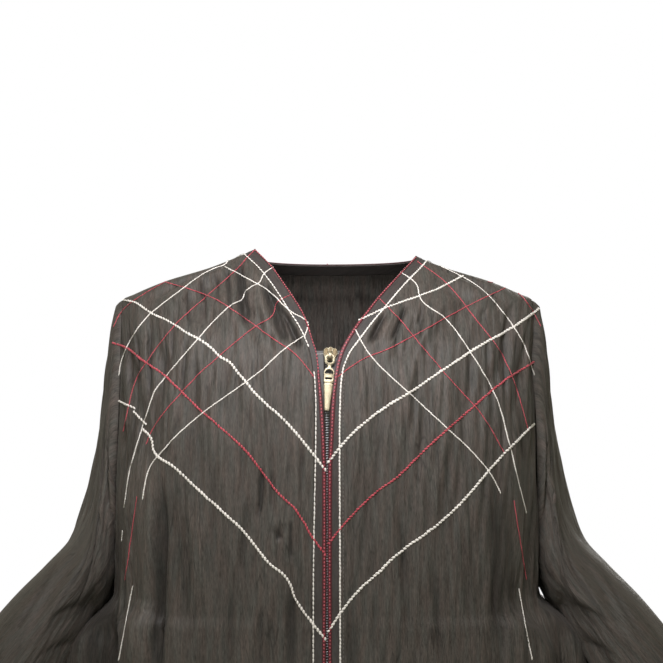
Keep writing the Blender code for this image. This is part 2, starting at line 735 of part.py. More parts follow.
def sleeve_fold_height(ring, turn):
    height = 0.0
    for fold in SLEEVE_FOLDS:
        along = (ring - fold.ring_top) / (fold.ring_end - fold.ring_top)
        if along <= 0.0 or along > 1.0:
            continue
        across = (turn - mix(fold.turn_top, fold.turn_end, along) + 0.5) % 1.0 - 0.5
        across /= fold.half_turn
        if abs(across) >= 1.0:
            continue
        fade = smooth_step(along / FOLD_FADE_IN) * smooth_step((1.0 - along) / FOLD_FADE_OUT)
        height += fold.depth * fade * (0.5 + 0.5 * math.cos(math.pi * across))
    return height


def sleeve_ring_points(side, index, count):
    ring = SLEEVE_RINGS[index]
    before = SLEEVE_RINGS[max(0, index - 1)]
    after = SLEEVE_RINGS[min(len(SLEEVE_RINGS) - 1, index + 1)]

    def centre(row):
        return Vector((
            side * (row.outer_x + row.under_x) / 2,
            (row.outer_y + row.under_y) / 2,
            (row.outer_z + row.under_z) / 2,
        ))

    up = Vector((
        side * (ring.outer_x - ring.under_x) / 2,
        (ring.outer_y - ring.under_y) / 2,
        (ring.outer_z - ring.under_z) / 2,
    ))
    run = centre(after) - centre(before)
    run.y *= ring.swing
    front = up.cross(run) * side
    front = front.normalized() * ring.half_depth
    if front.y > 0:
        front = -front
    points = []
    for k in range(count):
        turn = k / count
        angle = turn * 2 * math.pi
        across = math.cos(angle)
        along = math.sin(angle)
        reach = abs(across) ** SLEEVE_SQUARENESS + abs(along) ** SLEEVE_SQUARENESS
        radius = reach ** (-1.0 / SLEEVE_SQUARENESS)
        spoke = up * (across * radius) + front * (along * radius)
        stretch = 1.0 + sleeve_fold_height(index + 1, turn) / spoke.length
        points.append(centre(ring) + spoke * stretch)
    return points


def build_sleeve(side, front, back, material):
    loop = armhole_loop(side, front, back)
    count = len(loop)
    first_outer = []
    first_inner = []
    for outer, inner, away in loop:
        shift = away.normalized() * ARMHOLE_GAP
        first_outer.append(outer + shift)
        first_inner.append(inner + shift)
    rings = [first_outer]
    for index in range(len(SLEEVE_RINGS)):
        ring = sleeve_ring_points(side, index, count)
        if index < len(ARMHOLE_HOLD):
            # the first rings keep close to the armhole's own line, moved outwards
            row = SLEEVE_RINGS[index]
            out_x = side * ((row.outer_x + row.under_x) / 2 - SECTIONS.at("half_width", UNDERARM_Z))
            hold = ARMHOLE_HOLD[index]
            ring = [
                point.lerp(start + Vector((out_x, 0.0, 0.0)), hold)
                for point, start in zip(ring, first_outer)
            ]
        rings.append(ring)
    inner_rings = [first_inner]
    for r in range(1, len(rings)):
        line = []
        for k in range(count):
            after = rings[min(r + 1, len(rings) - 1)][k]
            along = after - rings[r - 1][k]
            around = rings[r][(k + 1) % count] - rings[r][k - 1]
            normal = around.cross(along).normalized() * side
            line.append(rings[r][k] - normal * WALL)
        inner_rings.append(line)
    name = "sleeve_right" if side == RIGHT else "sleeve_left"
    wall_object(name, rings, inner_rings, True, side == LEFT, material)


def zip_strip(name, side, inner_x, outer_x, depth, thickness, top_z, end_z, material):
    # a strip of the zip, set in from the cloth's outer face; side 0 is centred on the middle
    outer = []
    inner = []
    for row in range(ZIP_ROWS + 1):
        z = mix(top_z, end_z, (row / ZIP_ROWS) ** ZIP_ROW_POWER)
        normal = flat_seam(body_normal(RIGHT, 0.0, z), 0)
        middle = plain_body(RIGHT, 0.0, z) - normal * depth
        left_x, right_x = (inner_x, outer_x) if side == 0 else sorted((side * inner_x, side * outer_x))
        line = [middle + Vector((left_x, 0, 0)), middle + Vector((right_x, 0, 0))]
        outer.append(line)
        inner.append([point - normal * thickness for point in line])
    wall_object(name, outer, inner, False, False, material)


def prism(name, outline, start, end, across_x, material):
    # a straight prism: the outline is (x, z) pulled along y, or (y, z) pulled along x
    vertices = []
    for level in (start, end):
        for a, z in outline:
            vertices.append((level, a, z) if across_x else (a, level, z))
    count = len(outline)
    faces = [tuple(range(count)), tuple(reversed(range(count, 2 * count)))]
    for i in range(count):
        n = (i + 1) % count
        faces.append((i, i + count, n + count, n))
    item = mesh_object(name, vertices, faces, material)
    outward_faces(item)
    return item


def outward_faces(item):
    # turns a closed mesh's faces outwards when their signed volume says they point in
    mesh = item.data
    mesh.calc_loop_triangles()
    volume = 0.0
    for triangle in mesh.loop_triangles:
        a, b, c = (mesh.vertices[i].co for i in triangle.vertices)
        volume += a.dot(b.cross(c))
    if volume < 0:
        mesh.flip_normals()


def combine(item, other, operation):
    other.hide_render = True
    other.display_type = "WIRE"
    modifier = item.modifiers.new(operation.lower(), "BOOLEAN")
    modifier.operation = operation
    modifier.solver = "EXACT"
    modifier.object = other


def slider_frame():
    # where the slider's own frame sits: on the cloth's face at the zip's upper end, along its slope,
    # turned across the zip about the pull's lower end
    top = plain_body(RIGHT, 0.0, ZIP_TOP_Z)
    run = plain_body(RIGHT, 0.0, ZIP_TOP_Z - SLIDER_HEIGHT) - top
    tilt = math.atan2(run.y, -run.z)
    low = Vector((0.0, 0.0, -PULL_OUTLINE[-1].drop))
    lean = Matrix.Translation(low) @ Matrix.Rotation(SLIDER_LEAN, 4, "Y") @ Matrix.Translation(-low)
    return Matrix.Translation(top) @ Matrix.Rotation(tilt, 4, "X") @ lean


def mirrored_outline(rows):
    right = [(row.half_width, -row.drop) for row in rows]
    left = [(-row.half_width, -row.drop) for row in reversed(rows)]
    return right + left


def build_slider(material):
    # y is out of the cloth in the slider's own frame, so its front is at -y before placing
    front = -SLIDER_FRONT_FACE
    rear = -SLIDER_REAR_BACK
    side_view = (
        (front, 0.0),
        (rear, 0.0),
        (rear, -SLIDER_HEIGHT),
        (-SLIDER_REAR_FRONT, -SLIDER_HEIGHT),
        (-SLIDER_REAR_FRONT, -SLIDER_SPINE),
        (-SLIDER_FRONT_BACK, -SLIDER_SPINE),
        (-SLIDER_FRONT_BACK, -SLIDER_HEIGHT),
        (front, -SLIDER_HEIGHT),
    )
    half = SLIDER_STOCK_HALF
    slider = prism("zip_slider", side_view, -half, half, True, material)
    outline = mirrored_outline(SLIDER_OUTLINE)
    shape = prism("slider_outline", outline, front - half, rear + half, False, material)
    combine(slider, shape, "INTERSECT")
    top = -BRIDGE_TOP_DROP
    low = top - BRIDGE_HEIGHT
    sunk = front + BRIDGE_SINK
    clear = front - BRIDGE_CLEAR
    crown = clear - BRIDGE_BAR
    arch = (
        (sunk, top),
        (sunk, top - BRIDGE_LEG),
        (clear, top - BRIDGE_LEG),
        (clear, low + BRIDGE_LEG),
        (sunk, low + BRIDGE_LEG),
        (sunk, low),
        (crown + BRIDGE_BEVEL_DEPTH, low),
        (crown, low + BRIDGE_BEVEL_HEIGHT),
        (crown, top - BRIDGE_BEVEL_HEIGHT),
        (crown + BRIDGE_BEVEL_DEPTH, top),
    )
    bridge = prism("slider_bridge", arch, -BRIDGE_HALF_WIDTH, BRIDGE_HALF_WIDTH, True, material)
    combine(slider, bridge, "UNION")
    for item in (slider, shape, bridge):
        item.matrix_world = slider_frame()
    return slider


def hole_outline(hole):
    corners = (
        (hole.half_width, -hole.top, 0.0),
        (-hole.half_width, -hole.top, math.pi / 2),
        (-hole.half_width, -hole.bottom, math.pi),
        (hole.half_width, -hole.bottom, 1.5 * math.pi),
    )
    points = []
    r = hole.rounding
    for x, z, start in corners:
        centre_x = x - math.copysign(r, x)
        centre_z = z - r if z == -hole.top else z + r
        for step in range(4):
            angle = start + step * math.pi / 6
            points.append((centre_x + r * math.cos(angle), centre_z + r * math.sin(angle)))
    return points


def build_pull(material):
    # a flat plate with three openings, about its pivot inside the slider's bridge
    pivot_y = -SLIDER_FRONT_FACE - BRIDGE_CLEAR / 2
    loops = [mirrored_outline(PULL_OUTLINE)]
    loops += [hole_outline(hole) for hole in PULL_HOLES]
    flat = [[(x, z + PIVOT_DROP) for x, z in loop] for loop in loops]
    count = sum(len(loop) for loop in flat)
    triangles = tessellate_polygon([[Vector((x, z, 0.0)) for x, z in loop] for loop in flat])
    half = PULL_THICKNESS / 2
    vertices = [(x, -half, z) for loop in flat for x, z in loop]
    vertices += [(x, half, z) for loop in flat for x, z in loop]
    faces = []
    for triangle in triangles:
        a, b, c = triangle
        cross = Vector(vertices[b]) - Vector(vertices[a])
        facing = cross.cross(Vector(vertices[c]) - Vector(vertices[a])).y
        if facing > 0:
            b, c = c, b
        faces.append((a, b, c))
        faces.append((a + count, c + count, b + count))
    edges = {}
    for a, b, c in faces[::2]:
        for start, end in ((a, b), (b, c), (c, a)):
            edges[(start, end)] = True
    for start, end in edges:
        if (end, start) not in edges:
            faces.append((end, start, start + count, end + count))
    pull = mesh_object("zip_pull", vertices, faces, material)
    outward_faces(pull)
    lean = Matrix.Rotation(PULL_LEAN, 4, "X")
    place = Matrix.Translation(Vector((0.0, pivot_y, -PIVOT_DROP)))
    pull.matrix_world = slider_frame() @ place @ lean
    return pull


def build_bottom_stop(material):
    # the small clip that closes the zip's lower end
    outer = []
    inner = []
    for z in (ZIP_END_Z - SEAM_GAP, ZIP_END_Z - SEAM_GAP - STOP_HEIGHT):
        normal = flat_seam(body_normal(RIGHT, 0.0, z), 0)
        middle = plain_body(RIGHT, 0.0, z) - normal * CHAIN_DEPTH
        line = [middle + Vector((x, 0, 0)) for x in (-STOP_HALF_WIDTH, STOP_HALF_WIDTH)]
        outer.append(line)
        inner.append([point - normal * CHAIN_THICKNESS for point in line])
    wall_object("zip_bottom_stop", outer, inner, False, False, material)


def main():
    clear_scene()
    cloth = make_material("crinkled_black_crepe", CLOTH_COLOUR, 0.62, 0.0)
    tape = make_material("grey_zip_tape", TAPE_COLOUR, 0.80, 0.0)
    teeth = make_material("black_zip_teeth", TEETH_COLOUR, 0.35, 0.0)
    metal = make_material("pale_zip_metal", METAL_COLOUR, 0.32, 1.0)
    back = build_back(cloth)
    build_back_band(cloth)
    for side in (RIGHT, LEFT):
        front = build_front(side, cloth)
        build_front_band(side, cloth)
        build_sleeve(side, front, back, cloth)
    for name, side in (("zip_tape_right", RIGHT), ("zip_tape_left", LEFT)):
        zip_strip(name, side, TAPE_INNER_X, TAPE_OUTER_X, TAPE_DEPTH, TAPE_THICKNESS,
                  TAPE_TOP_Z, ZIP_END_Z - 0.006, tape)
    zip_strip("zip_chain", 0, -CHAIN_HALF_WIDTH, CHAIN_HALF_WIDTH, CHAIN_DEPTH, CHAIN_THICKNESS,
              CHAIN_TOP_Z, ZIP_END_Z, teeth)
    build_bottom_stop(metal)
    build_slider(metal)
    build_pull(metal)


main()
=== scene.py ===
# Looks of the zip-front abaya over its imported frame: crinkled black crepe, thread trellis, zip.
# Metres, +Z up, the front towards -Y. Right is the wearer's right, on the -X side.
import math
import bmesh
import bpy
import numpy as np
from mathutils import Matrix, Vector
from mathutils.bvhtree import BVHTree


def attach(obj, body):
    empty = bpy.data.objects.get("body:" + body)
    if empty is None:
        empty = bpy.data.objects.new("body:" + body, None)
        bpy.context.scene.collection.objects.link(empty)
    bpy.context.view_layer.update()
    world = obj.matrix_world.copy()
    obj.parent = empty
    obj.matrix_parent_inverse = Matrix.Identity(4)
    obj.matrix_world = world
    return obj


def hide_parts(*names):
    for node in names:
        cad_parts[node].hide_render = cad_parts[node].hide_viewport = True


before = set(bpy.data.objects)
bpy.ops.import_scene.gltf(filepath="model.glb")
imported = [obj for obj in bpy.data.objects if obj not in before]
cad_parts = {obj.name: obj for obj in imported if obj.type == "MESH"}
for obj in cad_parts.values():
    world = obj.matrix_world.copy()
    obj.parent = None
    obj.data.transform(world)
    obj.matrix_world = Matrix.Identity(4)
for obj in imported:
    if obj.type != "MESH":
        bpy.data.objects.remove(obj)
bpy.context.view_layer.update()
right = -1
left = 1
sides = {right: "right", left: "left"}

# The photograph: its middle in pixels, the eye, the distance to the chest plane and the scale there
photo = {"middle": 331.5, "eye": (0.0043, -1.72, -0.0846), "distance": 1.6, "metresPerPixel": 0.00096}

# Cut and make of the garment
cut = {
    "length": 1.40, "wall": 0.0012, "seamGap": 0.0003, "armholeGap": 0.0004,
    "shoulderTipZ": -0.052, "underarmZ": -0.345, "frontTurnZ": -0.300,
    "armholeFront": 0.045, "armholeBack": 0.060, "backNeckZ": -0.014, "backBandZ": -0.024,
    "armholeRows": 12, "skirtRows": 17, "shoulderColumns": 6, "backNeckColumns": 14,
    "zipTopZ": -0.0985, "tapeTopZ": -0.1025, "chainTopZ": -0.1065, "zipEndZ": -1.080,
    "skirtPower": 1.5, "frontPower": 1.45, "neckPower": 2.2, "armholePower": 0.6,
    "blendRow": 5, "blendRows": 9,
}
mm = 0.001
lastColumn = 2 * cut["shoulderColumns"] + cut["backNeckColumns"]


def columnTable(names, rows):
    # each column of a short table with the slopes of a curve that never swings past its values
    values = np.array(sorted(rows), float)
    heights = values[:, 0]
    table = {"heights": heights}
    for index, name in enumerate(names.split()):
        column = values[:, index]
        steps = np.diff(column) / np.diff(heights)
        before, after = steps[:-1], steps[1:]
        inner = np.zeros(len(before))
        same = before * after > 0
        inner[same] = 2 * before[same] * after[same] / (before[same] + after[same])
        table[name] = (column, np.concatenate(([steps[0]], inner, [steps[-1]])))
    return table


def readTable(table, name, at):
    heights = table["heights"]
    column, slopes = table[name]
    at = np.clip(at, heights[0], heights[-1])
    i = np.clip(np.searchsorted(heights, at, side="right") - 1, 0, len(heights) - 2)
    step = heights[i + 1] - heights[i]
    t = (at - heights[i]) / step
    t2 = t * t
    t3 = t2 * t
    return ((2 * t3 - 3 * t2 + 1) * column[i] + (t3 - 2 * t2 + t) * step * slopes[i]
            + (3 * t2 - 2 * t3) * column[i + 1] + (t3 - t2) * step * slopes[i + 1])


bodyShape = columnTable("z halfWidth frontDepth backDepth squareness", [
    (0.000, 0.0745, 0.010, 0.040, 2.0),
    (-0.018, 0.1190, 0.028, 0.060, 2.0),
    (-0.033, 0.1675, 0.044, 0.075, 2.1),
    (-0.046, 0.1985, 0.057, 0.083, 2.2),
    (-0.052, 0.2105, 0.063, 0.087, 2.3),
    (-0.068, 0.2118, 0.078, 0.094, 2.5),
    (-0.098, 0.2122, 0.098, 0.102, 2.8),
    (-0.150, 0.2125, 0.116, 0.110, 3.0),
    (-0.200, 0.2125, 0.125, 0.114, 3.2),
    (-0.300, 0.2130, 0.132, 0.114, 3.2),
    (-0.345, 0.2135, 0.133, 0.113, 3.1),
    (-0.351, 0.2157, 0.133, 0.113, 3.1),
    (-0.358, 0.2215, 0.133, 0.113, 3.0),
    (-0.367, 0.2360, 0.134, 0.113, 3.0),
    (-0.378, 0.2500, 0.134, 0.114, 2.9),
    (-0.395, 0.2640, 0.135, 0.115, 2.8),
    (-0.430, 0.2745, 0.137, 0.118, 2.7),
    (-0.500, 0.2830, 0.142, 0.126, 2.5),
    (-0.700, 0.3020, 0.160, 0.152, 2.3),
    (-1.000, 0.3270, 0.187, 0.186, 2.2),
    (-1.400, 0.3560, 0.222, 0.228, 2.1),
])

# distance from the middle to each front edge, and to the outer line of its band
frontEdges = columnTable("z rightEdge rightBand leftEdge leftBand", [
    (0.000, 0.0745, 0.0920, 0.0975, 0.1150),
    (-0.010, 0.0645, 0.0805, 0.0885, 0.1050),
    (-0.020, 0.0552, 0.0700, 0.0792, 0.0955),
    (-0.035, 0.0443, 0.0575, 0.0650, 0.0805),
    (-0.050, 0.0338, 0.0470, 0.0511, 0.0668),
    (-0.065, 0.0243, 0.0375, 0.0388, 0.0540),
    (-0.080, 0.0180, 0.0275, 0.0268, 0.0415),
    (-0.095, 0.0136, 0.0200, 0.0175, 0.0300),
    (-0.105, 0.0104, 0.0165, 0.0125, 0.0225),
    (-0.123, 0.0078, 0.0135, 0.0078, 0.0155),
    (-0.141, 0.0056, 0.0122, 0.0052, 0.0133),
    (-0.160, 0.0040, 0.0118, 0.0038, 0.0128),
    (-0.180, 0.0028, 0.0118, 0.0029, 0.0125),
    (-0.220, 0.0015, 0.0120, 0.0015, 0.0126),
    (-0.340, 0.0014, 0.0135, 0.0014, 0.0130),
    (-1.400, 0.0014, 0.0142, 0.0014, 0.0138),
])

# sleeve: the line over the arm, the line under it, half the depth, and how far the ring turns with
# the arm's forward run, by ring from the armhole
sleeveShape = columnTable("ring outerX outerY outerZ underX underY underZ halfDepth swing", [
    (0, 0.2175, 0.008, -0.0530, 0.2150, 0.009, -0.3460, 0.050, 0.50),
    (1, 0.2194, 0.008, -0.071, 0.2214, 0.009, -0.3520, 0.050, 0.50),
    (2, 0.2252, 0.008, -0.105, 0.2270, 0.008, -0.3585, 0.052, 0.50),
    (3, 0.2300, 0.007, -0.145, 0.2340, 0.005, -0.3630, 0.055, 0.50),
    (4, 0.2350, 0.006, -0.185, 0.2415, 0.001, -0.3680, 0.059, 0.50),
    (5, 0.2392, 0.003, -0.222, 0.2495, -0.004, -0.3750, 0.062, 0.50),
    (6, 0.2460, -0.002, -0.259, 0.2585, -0.010, -0.3840, 0.064, 0.50),
    (7, 0.2580, -0.010, -0.292, 0.2680, -0.020, -0.3990, 0.065, 0.55),
    (8, 0.2840, -0.022, -0.321, 0.2780, -0.033, -0.4200, 0.064, 0.65),
    (9, 0.3140, -0.038, -0.351, 0.2890, -0.048, -0.4450, 0.063, 0.80),
    (10, 0.3420, -0.054, -0.384, 0.3010, -0.063, -0.4720, 0.062, 0.90),
    (11, 0.3680, -0.070, -0.418, 0.3140, -0.078, -0.5005, 0.061, 1.00),
    (12, 0.3930, -0.086, -0.453, 0.3270, -0.093, -0.5290, 0.059, 1.00),
    (13, 0.4130, -0.102, -0.488, 0.3410, -0.108, -0.5570, 0.057, 1.00),
    (14, 0.4320, -0.118, -0.523, 0.3550, -0.123, -0.5850, 0.056, 1.00),
    (15, 0.4500, -0.134, -0.557, 0.3690, -0.138, -0.6120, 0.055, 1.00),
])
sleeveHold = ((0, 1, 2, 3), (1.0, 0.70, 0.30, 0.0))     # share of the armhole's own line, by ring
sleevePower = 2.35

# large folds: u and z of the upper end, u and z of the lower end, half width in u, depth; a fold that
# reaches the hem stays open there
bodyFolds = {
    right: [
        (0.83, -0.006, 0.55, -0.062, 0.075, -0.0050),
        (0.64, -0.012, 0.40, -0.070, 0.065, 0.0035),
        (0.50, -0.020, 0.31, -0.092, 0.060, -0.0060),
        (0.33, -0.038, 0.21, -0.100, 0.050, 0.0030),
        (0.25, -0.050, 0.14, -0.118, 0.048, -0.0050),
        (0.62, -0.050, 0.42, -0.150, 0.060, -0.0040),
        (0.74, -0.062, 0.49, -0.215, 0.060, -0.0055),
        (0.80, -0.070, 0.62, -0.235, 0.050, -0.0055),
        (0.60, -0.190, 0.56, -0.780, 0.110, -0.0090),
        (0.84, -0.350, 0.80, -0.760, 0.085, -0.0150),
        (0.22, -0.420, 0.20, -1.400, 0.130, 0.0120),
        (0.42, -0.480, 0.39, -1.400, 0.100, -0.0140),
        (0.60, -0.560, 0.57, -1.400, 0.100, 0.0170),
        (0.80, -0.520, 0.76, -1.400, 0.110, -0.0180),
        (0.98, -0.500, 0.97, -1.400, 0.110, 0.0150),
        (1.44, -0.090, 1.40, -0.420, 0.090, -0.0060),
        (1.24, -0.300, 1.22, -1.400, 0.120, -0.0200),
        (1.46, -0.340, 1.45, -1.400, 0.120, 0.0180),
        (1.68, -0.280, 1.68, -1.400, 0.110, -0.0170),
        (1.90, -0.220, 1.88, -1.400, 0.100, 0.0140),
    ],
    left: [
        (0.80, -0.014, 0.52, -0.066, 0.075, -0.0045),
        (0.60, -0.022, 0.43, -0.080, 0.065, 0.0035),
        (0.47, -0.032, 0.34, -0.096, 0.060, -0.0055),
        (0.36, -0.046, 0.25, -0.104, 0.050, 0.0030),
        (0.28, -0.058, 0.19, -0.124, 0.048, -0.0050),
        (0.64, -0.048, 0.44, -0.160, 0.060, -0.0045),
        (0.72, -0.064, 0.51, -0.200, 0.060, -0.0050),
        (0.82, -0.074, 0.64, -0.245, 0.050, -0.0055),
        (0.61, -0.200, 0.57, -0.720, 0.110, -0.0085),
        (0.84, -0.350, 0.80, -0.730, 0.085, -0.0140),
        (0.20, -0.440, 0.22, -1.400, 0.130, 0.0110),
        (0.39, -0.520, 0.41, -1.400, 0.100, -0.0150),
        (0.58, -0.500, 0.60, -1.400, 0.105, 0.0160),
        (0.79, -0.540, 0.79, -1.400, 0.105, -0.0190),
        (0.99, -0.480, 0.98, -1.400, 0.110, 0.0150),
        (1.46, -0.100, 1.38, -0.400, 0.090, -0.0055),
        (1.26, -0.320, 1.25, -1.400, 0.120, -0.0190),
        (1.49, -0.300, 1.47, -1.400, 0.115, 0.0170),
        (1.70, -0.360, 1.71, -1.400, 0.110, -0.0180),
        (1.92, -0.300, 1.90, -1.400, 0.080, 0.0100),
    ],
}
# ring and turn of the upper end, ring and turn of the lower end, half width in turns, depth
sleeveFolds = [
    (0.5, 0.13, 5.5, 0.22, 0.050, -0.0035),
    (4.0, 0.42, 9.0, 0.24, 0.055, -0.0050),
    (5.5, 0.46, 11.0, 0.33, 0.050, 0.0040),
    (6.0, 0.08, 9.5, 0.20, 0.060, -0.0050),
    (1.0, 0.80, 8.0, 0.70, 0.060, -0.0055),
    (6.5, 0.92, 11.0, 0.78, 0.055, -0.0045),
    (9.0, 0.06, 15.0, 0.10, 0.060, -0.0040),
    (9.5, 0.60, 15.0, 0.64, 0.060, -0.0045),
]
# share of its length over which a fold or crease rises and dies away, how tall a fold that stays open at
# the hem begins, and how narrow a crease is within its half width
ends = {
    "foldRise": 0.30, "foldFall": 0.35, "openStart": 0.35, "creaseRise": 0.28, "creaseFall": 0.32,
    "sharpness": 1.6, "widest": 2.0,
}


def mix(a, b, share):
    return a + (b - a) * share


def smoothStep(value):
    value = np.clip(value, 0.0, 1.0)
    return value * value * (3.0 - 2.0 * value)


def unit(vectors):
    return vectors / np.maximum(np.linalg.norm(vectors, axis=-1, keepdims=True), 1e-12)


def gridOf(rows, columns):
    return np.meshgrid(rows, columns, indexing="ij")


def columnLengths(points):
    # distance from the first row of a grid of points, down each column
    lengths = np.zeros(points.shape[:-1])
    lengths[1:] = np.cumsum(np.linalg.norm(np.diff(points, axis=0), axis=-1), axis=0)
    return lengths


def endFade(along, rise, fall):
    return smoothStep(along / rise) * smoothStep((1.0 - along) / fall)


def foldRound(on, across, along, tall):
    # a soft round fold between its two ends
    on = on & (along > 0.0) & (along <= 1.0) & (np.abs(across) < 1.0)
    return np.where(on, tall * (0.5 + 0.5 * np.cos(math.pi * across)), 0.0)


def creaseRound(across, along, tall):
    # a narrow crease between its two ends
    on = (along > 0.0) & (along < 1.0)
    return np.where(on, tall * np.exp(-ends["sharpness"] * across * across), 0.0)


def halveTo(test, steps=40):
    # the height at the neck where a test turns from true, below, to false
    low = np.full(np.shape(test(0.0)), cut["shoulderTipZ"])
    high = np.zeros(np.shape(low))
    for _ in range(steps):
        middle = (low + high) / 2
        wide = test(middle)
        low = np.where(wide, middle, low)
        high = np.where(wide, high, middle)
    return (low + high) / 2


def ridgeHeight(x):
    return halveTo(lambda z: readTable(bodyShape, "halfWidth", z + 0 * x) > x)


def lineStart(field):
    return float(halveTo(lambda z: readTable(bodyShape, "halfWidth", z) > readTable(frontEdges, field, z)))


def girthOfX(x, z):
    share = np.clip(x / readTable(bodyShape, "halfWidth", z), 0.0, 1.0)
    power = readTable(bodyShape, "squareness", z)
    depth = np.maximum(0.0, 1.0 - share ** power) ** (1.0 / power)
    return np.arctan2(share, depth) / (math.pi / 2)


def armholeGirth(z, reach, depthField):
    share = (z - cut["shoulderTipZ"]) / (cut["underarmZ"] - cut["shoulderTipZ"])
    inside = (share > 0.0) & (share < 1.0)
    y = reach * np.sin(math.pi * np.clip(share, 0.0, 1.0)) ** cut["armholePower"]
    power = readTable(bodyShape, "squareness", z)
    yShare = y / readTable(bodyShape, depthField, z)
    xShare = (1.0 - yShare ** power) ** (1.0 / power)
    return np.where(inside, np.arctan2(xShare, yShare) / (math.pi / 2), 1.0)


def plainBody(side, u, z):
    angle = u * math.pi / 2
    across = np.abs(np.sin(angle))
    along = np.abs(np.cos(angle))
    power = readTable(bodyShape, "squareness", z)
    radius = (across ** power + along ** power) ** (-1.0 / power)
    depth = np.where(u <= 1.0, -readTable(bodyShape, "frontDepth", z), readTable(bodyShape, "backDepth", z))
    x = side * readTable(bodyShape, "halfWidth", z) * radius * np.sin(angle)
    return np.stack([x, depth * radius * along, z + 0.0 * x], axis=-1)


def surfaceNormal(surface, side, u, z):
    stepU = 0.004
    stepZ = 0.0008
    alongU = surface(side, np.minimum(u + stepU, 2.0), z) - surface(side, np.maximum(u - stepU, 0.0), z)
    alongZ = surface(side, u, np.minimum(z + stepZ, 0.0)) - surface(side, u, z - stepZ)
    return unit(np.cross(alongU, alongZ) * np.asarray(side)[..., None])


def foldHeight(side, u, z):
    height = np.zeros(np.shape(u + z))
    for foldSide, folds in bodyFolds.items():
        for uTop, zTop, uEnd, zEnd, half, depth in folds:
            along = (z - zTop) / (zEnd - zTop)
            across = (u - mix(uTop, uEnd, along)) / half
            if zEnd <= -cut["length"]:
                fade = smoothStep(along / ends["foldRise"]) * mix(ends["openStart"], 1.0, along)
            else:
                fade = endFade(along, ends["foldRise"], ends["foldFall"])
            height += foldRound(np.asarray(side) == foldSide, across, along, depth * fade)
    return height


def body(side, u, z):
    return plainBody(side, u, z) + surfaceNormal(plainBody, side, u, z) * foldHeight(side, u, z)[..., None]


grainSteps = (160, 280)
grainHeights = np.linspace(-cut["length"], 0.0, grainSteps[1] + 1)


def grainTables():
    # how far round the plain body each place lies, and how far down the cloth, in metres
    points = plainBody(left, *gridOf(np.linspace(0.0, 2.0, grainSteps[0] + 1), grainHeights))
    return columnLengths(points), {"front": columnLengths(points[0]), "back": columnLengths(points[-1])}


girthTable, downTables = grainTables()


def clothGrain(side, u, z, face):
    # place on the cloth as cut: across from the middle of the front or back, and up from the hem
    inside = 0.001
    a = np.clip(u / 2.0 * grainSteps[0], 0.0, grainSteps[0] - inside)
    b = np.clip((z + cut["length"]) / cut["length"] * grainSteps[1], 0.0, grainSteps[1] - inside)
    i, j = a.astype(int), b.astype(int)
    a, b = a - i, b - j
    low = mix(girthTable[i, j], girthTable[i + 1, j], a)
    high = mix(girthTable[i, j + 1], girthTable[i + 1, j + 1], a)
    middle = mix(girthTable[-1][j], girthTable[-1][j + 1], b) if face == "back" else 0.0
    up = np.interp(z, grainHeights, downTables[face])
    return np.stack([side * (mix(low, high, b) - middle), up], axis=-1)


def skirtShare(row):
    return np.maximum(0.0, (row - cut["armholeRows"]) / cut["skirtRows"]) ** cut["skirtPower"]


def innerRowZ(start, row):
    share = (np.minimum(row, cut["armholeRows"]) / cut["armholeRows"]) ** cut["frontPower"]
    return mix(mix(start, cut["frontTurnZ"], share), -cut["length"], skirtShare(row))


def outerRowZ(row):
    turn = math.pi * np.minimum(row, cut["armholeRows"]) / cut["armholeRows"]
    upper = mix(cut["shoulderTipZ"], cut["underarmZ"], (1.0 - np.cos(turn)) / 2)
    return mix(upper, -cut["length"], skirtShare(row))


def lowerShare(row):
    # how far a row has gone over from the armhole's shape to the even shape below it
    return smoothStep((row - cut["blendRow"]) / cut["blendRows"])


tipX = float(readTable(bodyShape, "halfWidth", cut["shoulderTipZ"]))


def frontPlace(side, row, share):
    # u and z of a point of the front panel: share runs from the band's outer line to the side
    field = sides[side] + "Band"
    start = lineStart(field)
    innerZ = innerRowZ(start, row)
    outerZ = outerRowZ(row)
    topZ = ridgeHeight(mix(float(readTable(bodyShape, "halfWidth", start)), tipX, share))
    z = topZ + mix(innerZ - start, outerZ - cut["shoulderTipZ"], share)
    innerX = readTable(frontEdges, field, innerZ) + cut["seamGap"]
    u = girthOfX(mix(innerX, tipX, share), z)
    edgeU = armholeGirth(outerZ, cut["armholeFront"], "frontDepth")
    u = u + (edgeU - girthOfX(tipX, outerZ)) * share ** 3
    u = mix(u, mix(girthOfX(innerX, innerZ), edgeU, share), lowerShare(row))
    return np.where(row <= 0, 1.0, u), z


def bandPlace(side, row, share):
    # u and z of a point of the front band: share runs from the front edge to the band's outer line
    fields = [sides[side] + "Edge", sides[side] + "Band"]
    heights = [innerRowZ(lineStart(field), row) for field in fields]
    places = [readTable(frontEdges, field, z) for field, z in zip(fields, heights)]
    x = mix(places[0], places[1], share)
    z = np.where(row <= 0, ridgeHeight(x), mix(heights[0], heights[1], share))
    return np.where(row <= 0, 1.0, girthOfX(x, z)), z


def backNeckPlace(turn, field, middleZ):
    # turn runs from -1 at the right shoulder through the middle of the back to 1 at the left
    side = np.where(turn < 0, right, left)
    start = np.where(turn < 0, lineStart("right" + field), lineStart("left" + field))
    return side, 2.0 - np.abs(turn), mix(middleZ, start, np.abs(turn) ** cut["neckPower"])


